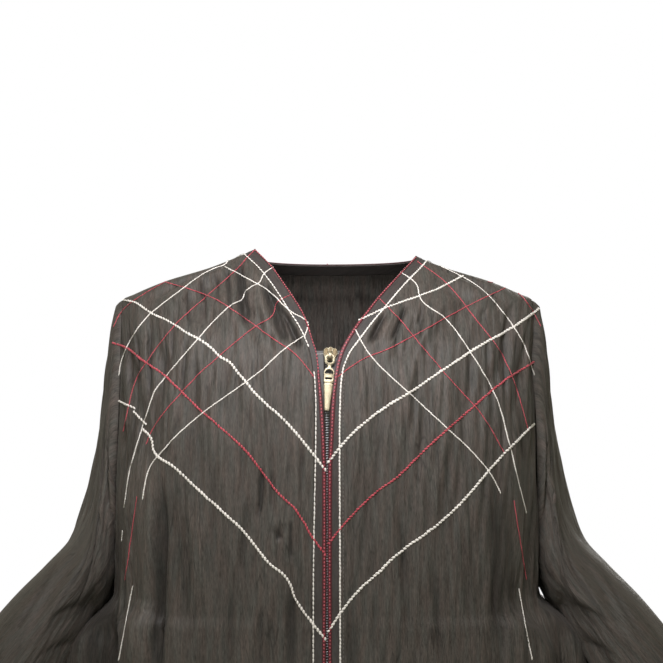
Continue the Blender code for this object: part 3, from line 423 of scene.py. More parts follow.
def backPlace(column, row):
    fromTip = np.minimum(column, lastColumn - column)
    side = np.where(column < lastColumn / 2, right, left)
    start = np.where(side == right, lineStart("rightBand"), lineStart("leftBand"))
    startX = readTable(bodyShape, "halfWidth", start)
    shoulderX = mix(tipX, startX, np.minimum(1.0, fromTip / cut["shoulderColumns"]))
    turn = (column - lastColumn / 2) / (cut["backNeckColumns"] / 2)
    neck = backNeckPlace(np.clip(turn, -1.0, 1.0), "Band", cut["backBandZ"])
    onShoulder = fromTip < cut["shoulderColumns"]
    topU = np.where(onShoulder, 1.0, neck[1])
    topZ = np.where(onShoulder, ridgeHeight(shoulderX), neck[2])
    edgeZ = outerRowZ(row)
    share = (edgeZ - cut["shoulderTipZ"]) / (cut["underarmZ"] - cut["shoulderTipZ"])
    z = np.where(row <= cut["armholeRows"], mix(topZ, cut["underarmZ"], share), edgeZ)
    middleShare = fromTip / (lastColumn / 2)
    topX = np.abs(plainBody(side, topU, topZ)[..., 0])
    edgeU = 2.0 - armholeGirth(edgeZ, cut["armholeBack"], "backDepth")
    u = 2.0 - girthOfX(topX, z)
    u = u + (edgeU - 2.0 + girthOfX(tipX, edgeZ)) * (1.0 - middleShare) ** 3
    u = mix(u, mix(edgeU, 2.0, middleShare), lowerShare(row))
    u = np.where(row <= 0, topU, u)
    return side, u, z


def aroundTurn(turn, place, half):
    # how far round the sleeve from a line, in its half widths
    return ((turn - place + 0.5) % 1.0 - 0.5) / half


def sleeveFoldHeight(ring, turn):
    height = np.zeros(np.shape(ring + turn))
    for ringTop, turnTop, ringEnd, turnEnd, half, depth in sleeveFolds:
        along = (ring - ringTop) / (ringEnd - ringTop)
        across = aroundTurn(turn, mix(turnTop, turnEnd, along), half)
        height += foldRound(True, across, along, depth * endFade(along, ends["foldRise"], ends["foldFall"]))
    return height


def sleeveLines(side, ring):
    signs = np.array([side, 1.0, 1.0])
    return [np.stack([readTable(sleeveShape, line + axis, ring) for axis in "XYZ"], axis=-1) * signs
            for line in ("outer", "under")]


def armholeLine(side, turn):
    # the armhole's own line: down the front panel's edge and up the back panel's
    rows = cut["armholeRows"]
    onFront = turn <= 0.5
    row = np.where(onFront, 2 * rows * turn, 2 * rows * (1.0 - turn))
    frontU, frontZ = frontPlace(side, row, np.ones(np.shape(turn)))
    column = np.full(np.shape(turn), 0.0 if side == right else float(lastColumn))
    backSide, backU, backZ = backPlace(column, row)
    points = np.where(onFront[..., None], body(side, frontU, frontZ), body(side, backU, backZ))
    middle = (cut["shoulderTipZ"] + cut["underarmZ"]) / 2
    inward = unit(np.stack([0 * turn, -points[..., 1], middle - points[..., 2]], axis=-1))
    return points + inward * cut["armholeGap"]


def sleeveSurface(side, ring, turn):
    outer, under = sleeveLines(side, ring)
    centre = (outer + under) / 2
    up = (outer - under) / 2
    reach = 0.8
    ahead = sum(sleeveLines(side, np.minimum(ring + reach, sleeveShape["heights"][-1])))
    run = ahead - sum(sleeveLines(side, np.maximum(ring - reach, 0.0)))
    run[..., 1] *= readTable(sleeveShape, "swing", ring)
    across = unit(np.cross(up, run))
    across = across * -np.sign(across[..., 1:2]) * readTable(sleeveShape, "halfDepth", ring)[..., None]
    angle = turn * 2 * math.pi
    rise = np.cos(angle)
    run = np.sin(angle)
    radius = (np.abs(rise) ** sleevePower + np.abs(run) ** sleevePower) ** (-1.0 / sleevePower)
    spoke = up * (rise * radius)[..., None] + across * (run * radius)[..., None]
    stretch = 1.0 + sleeveFoldHeight(ring, turn) / np.linalg.norm(spoke, axis=-1)
    points = centre + spoke * stretch[..., None]
    hold = np.interp(ring, *sleeveHold)
    outX = side * (np.abs(centre[..., 0]) - float(readTable(bodyShape, "halfWidth", cut["underarmZ"])))
    outX = outX * np.minimum(1.0, ring)
    held = armholeLine(side, turn) + np.stack([outX, 0 * outX, 0 * outX], axis=-1)
    return mix(points, held, hold[..., None])


def photoPlace(points):
    # where the eye of the photograph sees each point, in pixels
    away = points - np.array(photo["eye"])
    scale = photo["metresPerPixel"] / photo["distance"] * away[..., 1]
    return photo["middle"] + away[..., 0] / scale, photo["middle"] - away[..., 2] / scale


def photoRay(x, y):
    scale = photo["metresPerPixel"] / photo["distance"]
    return Vector(((x - photo["middle"]) * scale, 1.0, (photo["middle"] - y) * scale)).normalized()


# creases of the fronts: x and y of both ends in photograph pixels, sideways bow, half widths to the
# left and the right of the line in pixels, and depth in millimetres; a trough is negative
frontCreases = [
    (240, 257, 250, 330, -1.0, 6.0, 2.6, -9.0),
    (264, 276, 289, 346, 1.5, 7.5, 2.8, -10.0),
    (253, 268, 265, 330, 1.0, 4.0, 4.5, 2.6),
    (277, 298, 303, 349, 1.5, 5.5, 2.2, -7.5),
    (271, 300, 288, 338, 1.0, 3.2, 3.2, 1.8),
    (226, 264, 230, 318, 1.0, 3.0, 2.4, -3.8),
    (216, 268, 218, 308, 0.0, 2.2, 2.2, -2.4),
    (288, 322, 299, 352, 1.5, 3.0, 2.0, -2.6),
    (203, 274, 204, 326, 0.0, 3.0, 2.2, -3.0),
    (190, 282, 190, 334, -1.0, 2.4, 3.0, -2.8),
    (178, 290, 176, 340, 0.0, 2.4, 2.4, -1.4),
    (296, 344, 312, 341, 0.8, 1.6, 1.6, -1.3),
    (297, 350, 313, 347, 0.8, 1.6, 1.6, -1.5),
    (298, 356, 314, 353, 0.8, 1.6, 1.6, -1.5),
    (300, 362, 315, 359, 0.8, 1.6, 1.6, -1.2),
    (302, 369, 315, 366, 0.8, 1.5, 1.5, -1.0),
    (407, 302, 390, 343, 0.8, 2.6, 2.4, -6.0),
    (386, 307, 369, 345, -1.0, 2.6, 5.0, -7.5),
    (397, 304, 381, 343, 0.0, 3.0, 3.0, 2.0),
    (401, 322, 397, 346, 0.0, 2.0, 2.2, -3.6),
    (422, 302, 418, 345, 0.0, 2.4, 3.4, -2.4),
    (434, 306, 432, 350, 0.0, 2.2, 2.6, -1.6),
    (120, 318, 122, 402, -1.0, 2.2, 2.8, -1.6),
    (127, 322, 130, 396, 1.0, 2.0, 2.8, -2.4),
    (136, 326, 139, 394, 0.0, 2.4, 2.4, -3.4),
    (144, 316, 146, 378, 1.0, 2.2, 2.2, 1.6),
    (151, 320, 149, 406, -1.5, 2.0, 3.0, -3.8),
    (163, 330, 160, 414, 2.0, 2.8, 2.2, -2.8),
    (173, 308, 171, 372, 0.0, 2.2, 2.2, -1.8),
    (186, 334, 177, 410, 2.0, 2.8, 2.0, -2.6),
    (197, 348, 194, 420, 0.0, 2.4, 2.4, -1.4),
    (134, 400, 128, 476, 2.0, 2.8, 2.0, -3.0),
    (144, 410, 137, 462, 0.0, 2.2, 2.2, -2.0),
    (164, 470, 156, 700, 2.0, 14.0, 3.5, -8.5),
    (136, 466, 131, 680, -1.0, 5.0, 5.0, 3.0),
    (126, 500, 123, 640, 1.5, 2.4, 2.8, -3.0),
    (113, 598, 107, 740, 1.0, 26.0, 3.5, -13.0),
    (141, 440, 141, 700, 0.0, 16.0, 15.0, 7.5),
    (178, 418, 160, 462, 2.0, 2.0, 2.6, -2.6),
    (301, 440, 300, 508, 0.8, 1.6, 1.6, -3.2),
    (289, 450, 288, 516, -1.0, 1.8, 1.8, -1.4),
    (291, 516, 290, 566, 0.5, 2.4, 1.8, -5.0),
    (266, 531, 290, 527, -1.2, 2.2, 2.2, -1.8),
    (274, 538, 283, 534, 0.5, 4.0, 3.4, -5.2),
    (262, 464, 257, 524, 2.0, 3.2, 2.2, -4.2),
    (272, 466, 271, 514, 0.5, 2.0, 1.8, -2.4),
    (246, 500, 243, 590, -2.0, 3.4, 3.6, -2.2),
    (215, 448, 206, 560, 3.0, 4.4, 5.0, -1.5),
    (186, 520, 182, 650, 2.0, 4.4, 6.0, -2.0),
    (231, 580, 226, 680, 1.0, 4.0, 4.0, -1.8),
    (262, 600, 258, 680, 1.0, 4.0, 3.0, -1.8),
    (293, 580, 291, 690, 1.0, 7.0, 3.0, -4.2),
    (350, 505, 352, 600, 0.6, 2.0, 2.0, -1.6),
    (364, 470, 361, 560, 1.5, 2.6, 2.6, -1.5),
    (381, 430, 376, 520, -1.5, 3.0, 3.0, -1.6),
    (400, 500, 404, 640, 2.0, 4.4, 5.0, -2.0),
    (424, 470, 427, 560, 1.0, 3.4, 3.4, -1.6),
    (433, 560, 440, 680, 2.0, 4.6, 5.0, -2.4),
    (374, 590, 372, 680, 1.0, 3.6, 3.6, -1.8),
    (352, 610, 352, 690, 0.5, 3.0, 5.0, -2.0),
]
# the same for what the photograph doesn't show, on the wearer's left
hiddenFrontCreases = [
    (536, 322, 533, 398, 1.5, 3.4, 2.6, -2.0),
    (519, 326, 516, 396, 0.0, 3.0, 3.0, -2.2),
    (503, 320, 505, 402, 1.5, 3.8, 2.2, -2.4),
    (488, 328, 492, 412, -2.0, 2.6, 3.4, -1.9),
    (468, 332, 475, 398, -2.0, 2.4, 3.4, -1.7),
    (455, 300, 458, 350, 0.0, 3.0, 3.0, -1.2),
    (521, 398, 527, 470, -2.0, 2.4, 3.4, -2.0),
    (495, 478, 499, 668, -2.0, 5.0, 15.0, -4.0),
    (515, 470, 521, 668, 1.0, 5.0, 4.0, 2.0),
    (470, 520, 474, 650, -2.0, 7.0, 5.0, -1.3),
    (452, 440, 448, 540, -3.0, 6.0, 5.0, -1.0),
]
# creases of the back, in the pixels of a like view from behind: x grows towards the wearer's right
backCreases = [
    (300, 262, 268, 330, 3.0, 5.0, 5.0, -1.4),
    (352, 262, 392, 335, -3.0, 5.0, 5.0, -1.5),
    (226, 282, 214, 380, 3.0, 4.0, 5.0, -2.0),
    (434, 284, 446, 384, -3.0, 5.0, 4.0, -2.0),
    (150, 315, 158, 400, 2.0, 3.0, 4.0, -2.2),
    (168, 330, 172, 432, -2.0, 4.0, 3.0, -1.7),
    (505, 318, 498, 402, -2.0, 4.0, 3.0, -2.2),
    (486, 330, 480, 430, 2.0, 3.0, 4.0, -1.7),
    (134, 352, 140, 440, 1.0, 3.0, 3.0, -1.8),
    (520, 350, 514, 446, 1.0, 3.0, 3.0, -1.8),
    (250, 400, 244, 520, 2.0, 6.0, 6.0, -1.6),
    (410, 404, 418, 530, -2.0, 6.0, 6.0, -1.6),
    (330, 330, 327, 470, 1.5, 5.0, 5.0, -1.3),
    (196, 470, 186, 640, 2.0, 6.0, 8.0, -1.8),
    (466, 466, 474, 640, -2.0, 8.0, 6.0, -1.8),
    (292, 520, 286, 700, 2.0, 7.0, 6.0, -1.6),
    (372, 524, 380, 700, -2.0, 6.0, 7.0, -1.6),
    (330, 700, 332, 900, 2.0, 8.0, 8.0, -1.6),
    (232, 720, 222, 930, 3.0, 9.0, 8.0, -1.8),
    (430, 720, 442, 930, -3.0, 8.0, 9.0, -1.8),
]
# creases of the sleeves: ring and turn of both ends, bow and half width in turns, depth in millimetres
sleeveCreases = [
    (0.6, 0.20, 4.6, 0.26, 0.010, 0.014, -1.6),
    (1.4, 0.12, 6.2, 0.17, -0.010, 0.016, -1.8),
    (2.4, 0.33, 7.0, 0.31, 0.010, 0.014, -1.5),
    (4.8, 0.20, 7.8, 0.30, 0.012, 0.012, -1.9),
    (5.6, 0.10, 8.6, 0.24, 0.014, 0.014, -2.2),
    (6.2, 0.34, 8.8, 0.22, -0.012, 0.012, -1.8),
    (6.8, 0.42, 9.4, 0.28, -0.012, 0.012, -2.0),
    (7.4, 0.46, 10.2, 0.34, -0.010, 0.012, -1.7),
    (7.6, 0.06, 9.8, 0.18, 0.010, 0.014, -1.8),
    (8.6, 0.40, 11.6, 0.30, -0.010, 0.014, -1.5),
    (9.6, 0.16, 13.6, 0.22, 0.008, 0.016, -1.5),
    (10.4, 0.44, 14.4, 0.38, 0.008, 0.016, -1.4),
    (-0.6, 0.46, 7.0, 0.47, 0.000, 0.060, 5.0),
    (-0.8, 0.30, 6.5, 0.36, 0.000, 0.110, 12.0),
    (4.6, 0.41, 11.5, 0.43, 0.000, 0.055, 8.0),
    (11.0, 0.02, 15.0, 0.05, 0.006, 0.014, -1.3),
    (1.0, 0.72, 6.0, 0.66, 0.010, 0.016, -1.8),
    (3.0, 0.86, 7.6, 0.76, 0.010, 0.016, -1.8),
    (5.4, 0.60, 8.4, 0.70, 0.010, 0.014, -1.9),
    (6.4, 0.92, 9.2, 0.80, 0.010, 0.014, -2.0),
    (8.2, 0.56, 11.4, 0.66, 0.010, 0.014, -1.6),
    (10.2, 0.82, 14.6, 0.74, 0.010, 0.016, -1.5),
]


def creaseHeight(x, y, creases):
    height = np.zeros(np.shape(x))
    for x0, y0, x1, y1, bow, halfLeft, halfRight, depth in creases:
        run = math.hypot(x1 - x0, y1 - y0)
        alongX, alongY = (x1 - x0) / run, (y1 - y0) / run
        along = ((x - x0) * alongX + (y - y0) * alongY) / run
        away = (x - x0) * alongY - (y - y0) * alongX
        away = away - bow * 4 * along * (1 - along)
        across = away / np.where(away < 0, halfLeft, halfRight)
        fade = endFade(along, ends["creaseRise"], ends["creaseFall"])
        tall = creaseRound(across, along, depth * mm * fade)
        height += np.where(np.abs(across) < ends["widest"], tall, 0.0)
    return height


def sleeveCreaseHeight(ring, turn):
    height = np.zeros(np.shape(ring))
    for ring0, turn0, ring1, turn1, bow, half, depth in sleeveCreases:
        along = (ring - ring0) / (ring1 - ring0)
        across = aroundTurn(turn, mix(turn0, turn1, along) + bow * 4 * along * (1 - along), half)
        fade = endFade(along, ends["foldRise"], ends["foldFall"])
        height += creaseRound(across, along, depth * mm * fade)
    return height


# waves of the crinkle: count, shortest and longest wave across and along the cloth, height
crinkle = {
    "fine": {"count": 14, "across": (0.008, 0.017), "along": (0.05, 0.16), "height": 0.00022, "seed": 3},
    "broad": {"count": 9, "across": (0.030, 0.075), "along": (0.14, 0.40), "height": 0.00055, "seed": 8},
}


def crinkleHeight(u, v):
    height = np.zeros(np.shape(u))
    for layer in crinkle.values():
        random = np.random.default_rng(layer["seed"])
        for _ in range(layer["count"]):
            across = 2 * math.pi / random.uniform(*layer["across"])
            along = 2 * math.pi / random.uniform(*layer["along"]) * random.choice((-1, 1))
            phase = random.uniform(0, 2 * math.pi)
            height += layer["height"] * np.sin(across * u + along * v + phase)
    return height


grids = {}
outward = {}


def addObject(name, data):
    made = bpy.data.objects.new(name, data)
    bpy.context.collection.objects.link(made)
    return made


def bakedMesh(piece):
    # the plain mesh of an object with its modifier or its curve's thickness
    bpy.context.view_layer.update()
    return bpy.data.meshes.new_from_object(piece.evaluated_get(bpy.context.evaluated_depsgraph_get()))


def outwardNormals(points, closed, flip):
    # normals of a grid of points, from its neighbours on both sides
    if closed:
        alongColumns = np.roll(points, -1, axis=1) - np.roll(points, 1, axis=1)
    else:
        alongColumns = np.gradient(points, axis=1)
    return unit(np.cross(alongColumns, np.gradient(points, axis=0))) * (1 if flip else -1)


def gridLengths(points):
    # distance along the rows and down the columns, in metres, as the cloth was cut
    return columnLengths(points.swapaxes(0, 1)).T, columnLengths(points)


def gridFaces(rows, columns, closed):
    # row and place along it of every face's corners, and the faces by vertex number
    spans = columns if closed else columns - 1
    r, c = (grid.ravel() for grid in gridOf(np.arange(rows - 1), np.arange(spans)))
    corners = ((r, c), (r + 1, c), (r + 1, c + 1), (r, c + 1))
    return corners, np.stack([row * columns + place % columns for row, place in corners], axis=1)


def shellPiece(name, outer, inner, uv, closed, flip, material, hollow=None):
    # a closed wall from matching outer and inner grids
    rows, columns = outer.shape[:2]
    count = rows * columns
    spans = columns if closed else columns - 1
    corners, outside = gridFaces(rows, columns, closed)
    places = np.stack([uv[corner] for corner in corners], axis=1)
    quads = [outside, outside[:, ::-1] + count]
    places = [places, places[:, ::-1]]

    def addRim(rowA, placeA, rowB, placeB):
        a = rowA * columns + placeA % columns
        b = rowB * columns + placeB % columns
        quads.append(np.stack([a, b, b + count, a + count], axis=1))
        edgeA, edgeB = uv[rowA, placeA], uv[rowB, placeB]
        places.append(np.stack([edgeA, edgeB, edgeB, edgeA], axis=1))

    c = np.arange(spans)
    addRim(0 * c, c, 0 * c, c + 1)
    addRim(0 * c + rows - 1, c + 1, 0 * c + rows - 1, c)
    if not closed:
        r = np.arange(rows - 1)
        last = 0 * r + columns - 1
        addRim(r + 1, 0 * r, r, 0 * r)
        addRim(r, last, r + 1, last)
    quads = np.concatenate(quads)
    places = np.concatenate(places)
    if flip:
        quads = quads[:, ::-1]
        places = places[:, ::-1]
    vertices = np.concatenate([outer.reshape(-1, 3), inner.reshape(-1, 3)])
    mesh = bpy.data.meshes.new(name)
    mesh.from_pydata(vertices.tolist(), [], quads.tolist())
    mesh.uv_layers.new(name="UVMap").data.foreach_set("uv", places.reshape(-1).astype(np.float32))
    # the painted shade and painted highlight of the folds, on both walls
    if hollow is not None:
        values = np.concatenate([hollow.ravel(), hollow.ravel()]).astype(np.float32)
        mesh.attributes.new("hollow", "FLOAT", "POINT").data.foreach_set("value", values)
    mesh.materials.append(material)
    mesh.shade_smooth()
    return addObject(name, mesh)


# how far in from a free edge the crinkle and the creases reach their height, how flat the crinkle lies
# where the cloth rests on the shoulders, and how much of each is painted into the colour as painted
# shade in its hollows and painted highlight on its ridges
settle = {
    "top": 0.012, "side": 0.010, "creaseTop": 0.006, "creaseSide": 0.006,
    "restFrom": 0.25, "restRun": 0.45, "restFlat": 0.85, "crinklePaintedShade": 0.3, "creasePaintedShade": 0.7,
}


def clothPiece(name, points, closed, flip, material, grain=None, ripple=1.0, hem=None, lift=None):
    # a finer wall over the smooth grid of points, with its crinkle, creases and hem, and their painted shade
    # and painted highlight kept as a point attribute for the colour
    closedUv = np.concatenate([points, points[:, :1]], axis=1) if closed else points
    across, down = gridLengths(closedUv)
    uv = np.stack([across, down], axis=-1) if grain is None else grain
    normals = outwardNormals(points, closed, flip)
    columns = points.shape[1]
    ease = smoothStep(down / settle["top"])[:, :columns]
    if not closed:
        fromEnd = smoothStep((across[:, -1:] - across) / settle["side"])
        ease = ease * smoothStep(across / settle["side"]) * fromEnd
    rest = smoothStep((normals[..., 2] - settle["restFrom"]) / settle["restRun"])
    ease = ease * (1.0 - settle["restFlat"] * rest)
    height = crinkleHeight(uv[:, :columns, 0], uv[:, :columns, 1]) * ease * ripple
    if lift is not None:
        if not closed:
            lift = lift * smoothStep(down / settle["creaseTop"]) * smoothStep(across / settle["creaseSide"])
            lift = lift * fromEnd
        height = height + lift
    if hem:
        fromHem = down[-1:, :columns] - down[:, :columns]
        height = height - hem["groove"] * np.exp(-((fromHem - hem["depth"]) / hem["soft"]) ** 2)
        height = height + hem["fold"] * smoothStep((hem["depth"] - fromHem) / hem["soft"])
    outer = points + normals * height[..., None]
    normals = outwardNormals(outer, closed, flip)
    inner = outer - normals * cut["wall"]
    grids[name] = outer
    outward[name] = normals
    # painted shade in the hollows and painted highlight on the ridges of the crinkle, creases and hem
    hollow = height * settle["crinklePaintedShade"]
    if lift is not None:
        hollow = hollow + lift * settle["creasePaintedShade"]
    return shellPiece(name, outer, inner, uv, closed, flip, material, hollow)


def fineRows(parts):
    # row values with a number of steps in each stretch between whole rows
    rows = []
    for start, end, steps in parts:
        rows += list(np.linspace(start, end, steps, endpoint=False))
    return np.array(rows + [parts[-1][1]])


def setInputs(tree, node, inputs):
    for name, value in inputs.items():
        if isinstance(value, bpy.types.NodeSocket):
            tree.links.new(value, node.inputs[name])
        else:
            node.inputs[name].default_value = value


def addNode(tree, kind, inputs=None, **settings):
    node = tree.nodes.new(kind)
    for name, value in settings.items():
        setattr(node, name, value)
    setInputs(tree, node, inputs or {})
    return node


def madeBy(tree, kind, inputs=None, **settings):
    # the first output of a new node
    return addNode(tree, kind, inputs, **settings).outputs[0]


def maths(tree, operation, *values):
    return madeBy(tree, "ShaderNodeMath", dict(enumerate(values)), operation=operation)


def newMaterial(name):
    material = bpy.data.materials.new(name)
    material.use_nodes = True
    tree = material.node_tree
    tree.nodes.clear()
    shader = tree.nodes.new("ShaderNodeBsdfPrincipled")
    addNode(tree, "ShaderNodeOutputMaterial", {"Surface": shader.outputs["BSDF"]})
    return material, tree, shader


def texturePlace(tree, ownUv):
    if ownUv:
        return madeBy(tree, "ShaderNodeUVMap", uv_map="UVMap")
    return addNode(tree, "ShaderNodeTexCoord").outputs["Object"]


def finishShader(tree, shader, inputs, height, strength, distance):
    # the shader's inputs, and a bump from a height
    bump = {"Height": height, "Strength": strength, "Distance": distance}
    setInputs(tree, shader, {**inputs, "Normal": madeBy(tree, "ShaderNodeBump", bump)})


def stretchedNoise(tree, place, across, along, detail, roughness=0.55, distortion=0.0):
    mapped = madeBy(tree, "ShaderNodeMapping", {"Vector": place, "Scale": (across, along, across)})
    return madeBy(tree, "ShaderNodeTexNoise", {
        "Vector": mapped, "Scale": 1.0, "Detail": detail, "Roughness": roughness, "Distortion": distortion,
    })


def spread(tree, value, low, high, toLow=0.0, toHigh=1.0):
    return madeBy(tree, "ShaderNodeMapRange", {
        "Value": value, "From Min": low, "From Max": high, "To Min": toLow, "To Max": toHigh,
    })


def blendColour(tree, share, a, b, mode="MIX"):
    # the colour sockets of this node share their names with its other kinds and go by number
    node = addNode(tree, "ShaderNodeMix", {"Factor": share, 6: a, 7: b}, data_type="RGBA", blend_type=mode)
    return node.outputs[2]


def weighted(tree, parts):
    scaled = [maths(tree, "MULTIPLY", value, weight) for value, weight in parts]
    total = scaled[0]
    for part in scaled[1:]:
        total = maths(tree, "ADD", total, part)
    return total


# noise layers: scale across and along the cloth, detail, roughness, distortion; tone, partly the yarn's own
# and partly painted sheen: layer, low, high and share; height: layer and share
crepe = {
    "noise": {
        "fibre": (1500.0, 190.0, 2.0), "streak": (760.0, 62.0, 3.0, 0.6, 0.15),
        "crinkle": (330.0, 24.0, 3.0, 0.5, 0.25), "cloud": (170.0, 26.0, 2.0),
        "line": (80.0, 11.0, 2.0, 0.45, 0.25), "patch": (26.0, 12.0, 2.0),
    },
    "toneAndSheen": (("fibre", 0.28, 0.72, 0.44), ("streak", 0.32, 0.68, 0.32), ("crinkle", 0.32, 0.68, 0.24)),
    "height": (("crinkle", 0.62), ("streak", 0.26), ("fibre", 0.12)),
    # darkest and lightest colour; between them the yarn's own tone and the painted sheen of streaks and
    # crinkles
    "dark": (0.017, 0.0155, 0.0138, 1.0), "light": (0.130, 0.118, 0.109, 1.0),
    "warm": (1.09, 0.98, 0.93, 1.0), "cool": (0.96, 1.01, 0.98, 1.0), "cloudRange": (0.35, 0.65),
    # thin crease lines: width, the painted shade that darkens the colour along them, and their groove's depth
    "patchRange": (0.42, 0.62), "lineWidth": 0.022, "linePaintedShade": 0.45, "lineDepth": 0.11,
    # painted fold shade: the attribute's range and the colour's multiplier, darker in hollows, lighter on
    # ridges
    "hollow": (-0.6 / 165.0, 0.25 / 165.0, 0.45, 1.22), "bump": 1.0, "bumpDistance": 0.0013,
    "roughness": (0.2, 0.8, 0.51, 0.66), "specular": 0.36, "sheen": 0.12, "sheenRoughness": 0.45,
    "sheenTint": (0.75, 0.72, 0.70, 1.0),
}
# the bands' cloth: darker, flatter, and with less painted shade along its crease lines
bandCloth = dict(
    crepe, dark=(0.030, 0.027, 0.027, 1.0), light=(0.080, 0.072, 0.072, 1.0), bump=0.45, linePaintedShade=0.15,
    noise=dict(crepe["noise"], crinkle=(120.0, 30.0, 3.0, 0.5, 0.25), streak=(620.0, 60.0, 3.0, 0.6, 0.15)),
)


def crepeMaterial(name, look):
    # crinkle crepe: fine upright streaks and softer crinkles, their tone partly the yarn's own and partly
    # painted sheen, and thin uneven crease lines in patches, darkened by painted shade
    material, tree, shader = newMaterial(name)
    place = texturePlace(tree, True)
    noise = {layer: stretchedNoise(tree, place, *size) for layer, size in look["noise"].items()}
    away = maths(tree, "ABSOLUTE", maths(tree, "SUBTRACT", noise["line"], 0.5))
    patch = spread(tree, noise["patch"], *look["patchRange"])
    line = maths(tree, "MULTIPLY", spread(tree, away, 0.0, look["lineWidth"], 1.0, 0.0), patch)
    toneAndSheen = weighted(tree, [(spread(tree, noise[layer], low, high), share)
                           for layer, low, high, share in look["toneAndSheen"]])
    colour = blendColour(tree, toneAndSheen, look["dark"], look["light"])
    tint = blendColour(tree, spread(tree, noise["cloud"], *look["cloudRange"]), look["warm"], look["cool"])
    colour = blendColour(tree, 1.0, colour, tint, "MULTIPLY")
    # painted shade: darker along the crease lines and in the folds' hollows, lighter on the folds' ridges
    hollow = addNode(tree, "ShaderNodeAttribute", attribute_name="hollow").outputs["Fac"]
    shade = maths(tree, "MULTIPLY", spread(tree, line, 0.0, 1.0, 1.0, 1.0 - look["linePaintedShade"]),
                  spread(tree, hollow, *look["hollow"]))
    shade = madeBy(tree, "ShaderNodeCombineXYZ", dict.fromkeys("XYZ", shade))
    heights = [(noise[layer], share) for layer, share in look["height"]] + [(line, -look["lineDepth"])]
    finishShader(tree, shader, {
        "Base Color": blendColour(tree, 1.0, colour, shade, "MULTIPLY"),
        "Roughness": spread(tree, noise["streak"], *look["roughness"]),
        "Specular IOR Level": look["specular"], "Sheen Weight": look["sheen"],
        "Sheen Roughness": look["sheenRoughness"], "Sheen Tint": look["sheenTint"],
    }, weighted(tree, heights), look["bump"], look["bumpDistance"])
    return material


# spun thread and bound tape: noise of the fibres and of the uneven dye, which mixes each colour with its
# shaded copy as partly real dye and partly painted highlight, their shares of the tone, and the bump's
# strength and distance
spun = {
    "ownUv": False, "fibres": (2600.0, 2600.0, 2.0), "dyeAndHighlight": (160.0, 160.0, 2.0), "shares": (0.6, 0.4),
    "range": (0.3, 0.7), "bump": (0.5, 0.0002),
}
threads = {
    "white": dict(spun, colour=(1.0, 0.97, 0.93, 1.0), shade=(0.88, 0.84, 0.79, 1.0),
                  roughness=0.55, sheen=0.3),
    "crimson": dict(spun, colour=(0.74, 0.105, 0.145, 1.0), shade=(0.34, 0.026, 0.045, 1.0),
                    roughness=0.50, sheen=0.25),
    "rose": dict(spun, colour=(0.76, 0.16, 0.20, 1.0), shade=(0.42, 0.060, 0.085, 1.0),
                 roughness=0.50, sheen=0.25),
    "pale": dict(spun, colour=(0.42, 0.42, 0.41, 1.0), shade=(0.24, 0.24, 0.24, 1.0),
                 roughness=0.6, sheen=0.2),
    # black thread, given a grey colour that paints in its sheen
    "black": dict(spun, colour=(0.210, 0.195, 0.185, 1.0), shade=(0.090, 0.083, 0.078, 1.0),
                  roughness=0.55, sheen=0.2),
}
boundTape = {
    "ownUv": True, "fibres": (500.0, 1400.0, 2.0), "dyeAndHighlight": (120.0, 60.0, 2.0), "shares": (0.55, 0.45),
    "range": (0.3, 0.7), "bump": (0.5, 0.0003), "colour": (0.120, 0.010, 0.019, 1.0),
    "shade": (0.045, 0.004, 0.008, 1.0), "roughness": 0.46, "sheen": 0.15,
}


def spunMaterial(name, look):
    material, tree, shader = newMaterial(name)
    place = texturePlace(tree, look["ownUv"])
    noise = [stretchedNoise(tree, place, *look[layer]) for layer in ("fibres", "dyeAndHighlight")]
    toneAndSheen = weighted(tree, [(spread(tree, layer, *look["range"]), share)
                           for layer, share in zip(noise, look["shares"])])
    finishShader(tree, shader, {
        "Base Color": blendColour(tree, toneAndSheen, look["shade"], look["colour"]), "Roughness": look["roughness"],
        "Sheen Weight": look["sheen"],
    }, noise[0], *look["bump"])
    return material


# metals: colour, roughness, metallic share, and how much the scratches change the roughness
metals = {
    "paleZipMetal": ((0.33, 0.29, 0.20, 1.0), 0.36, 0.75, 0.04),
    # a darker copy of the pale metal, for the painted shade in the slider's hollows
    "zipMetalPaintedShade": ((0.15, 0.115, 0.065, 1.0), 0.50, 0.8, 0.04),
    "zipTeeth": ((0.34, 0.35, 0.37, 1.0), 0.36, 0.6, 0.05),
}
castMetal = {
    "scratches": (1800.0, 500.0, 3.0), "wear": (240.0, 240.0, 3.0), "dull": 0.78, "bump": (0.25, 0.0001),
}


def metalMaterial(name):
    # cast metal, duller where it is worn, with fine scratches
    colour, roughness, metallic, scratch = metals[name]
    material, tree, shader = newMaterial(name)
    place = texturePlace(tree, False)
    grain = stretchedNoise(tree, place, *castMetal["scratches"])
    wear = spread(tree, stretchedNoise(tree, place, *castMetal["wear"]), 0.35, 0.65)
    dull = tuple(part * castMetal["dull"] for part in colour[:3]) + (1.0,)
    finishShader(tree, shader, {
        "Base Color": blendColour(tree, wear, dull, colour), "Metallic": metallic,
        "Roughness": spread(tree, grain, 0.2, 0.8, roughness - scratch, roughness + scratch),
    }, grain, *castMetal["bump"])
    return material


tapeLook = {
    "X": 420.0, "Z": 520.0, "distortion": 0.4, "dark": (0.085, 0.085, 0.088, 1.0),
    "light": (0.19, 0.19, 0.195, 1.0), "roughness": 0.78, "bump": (0.6, 0.0002),
}


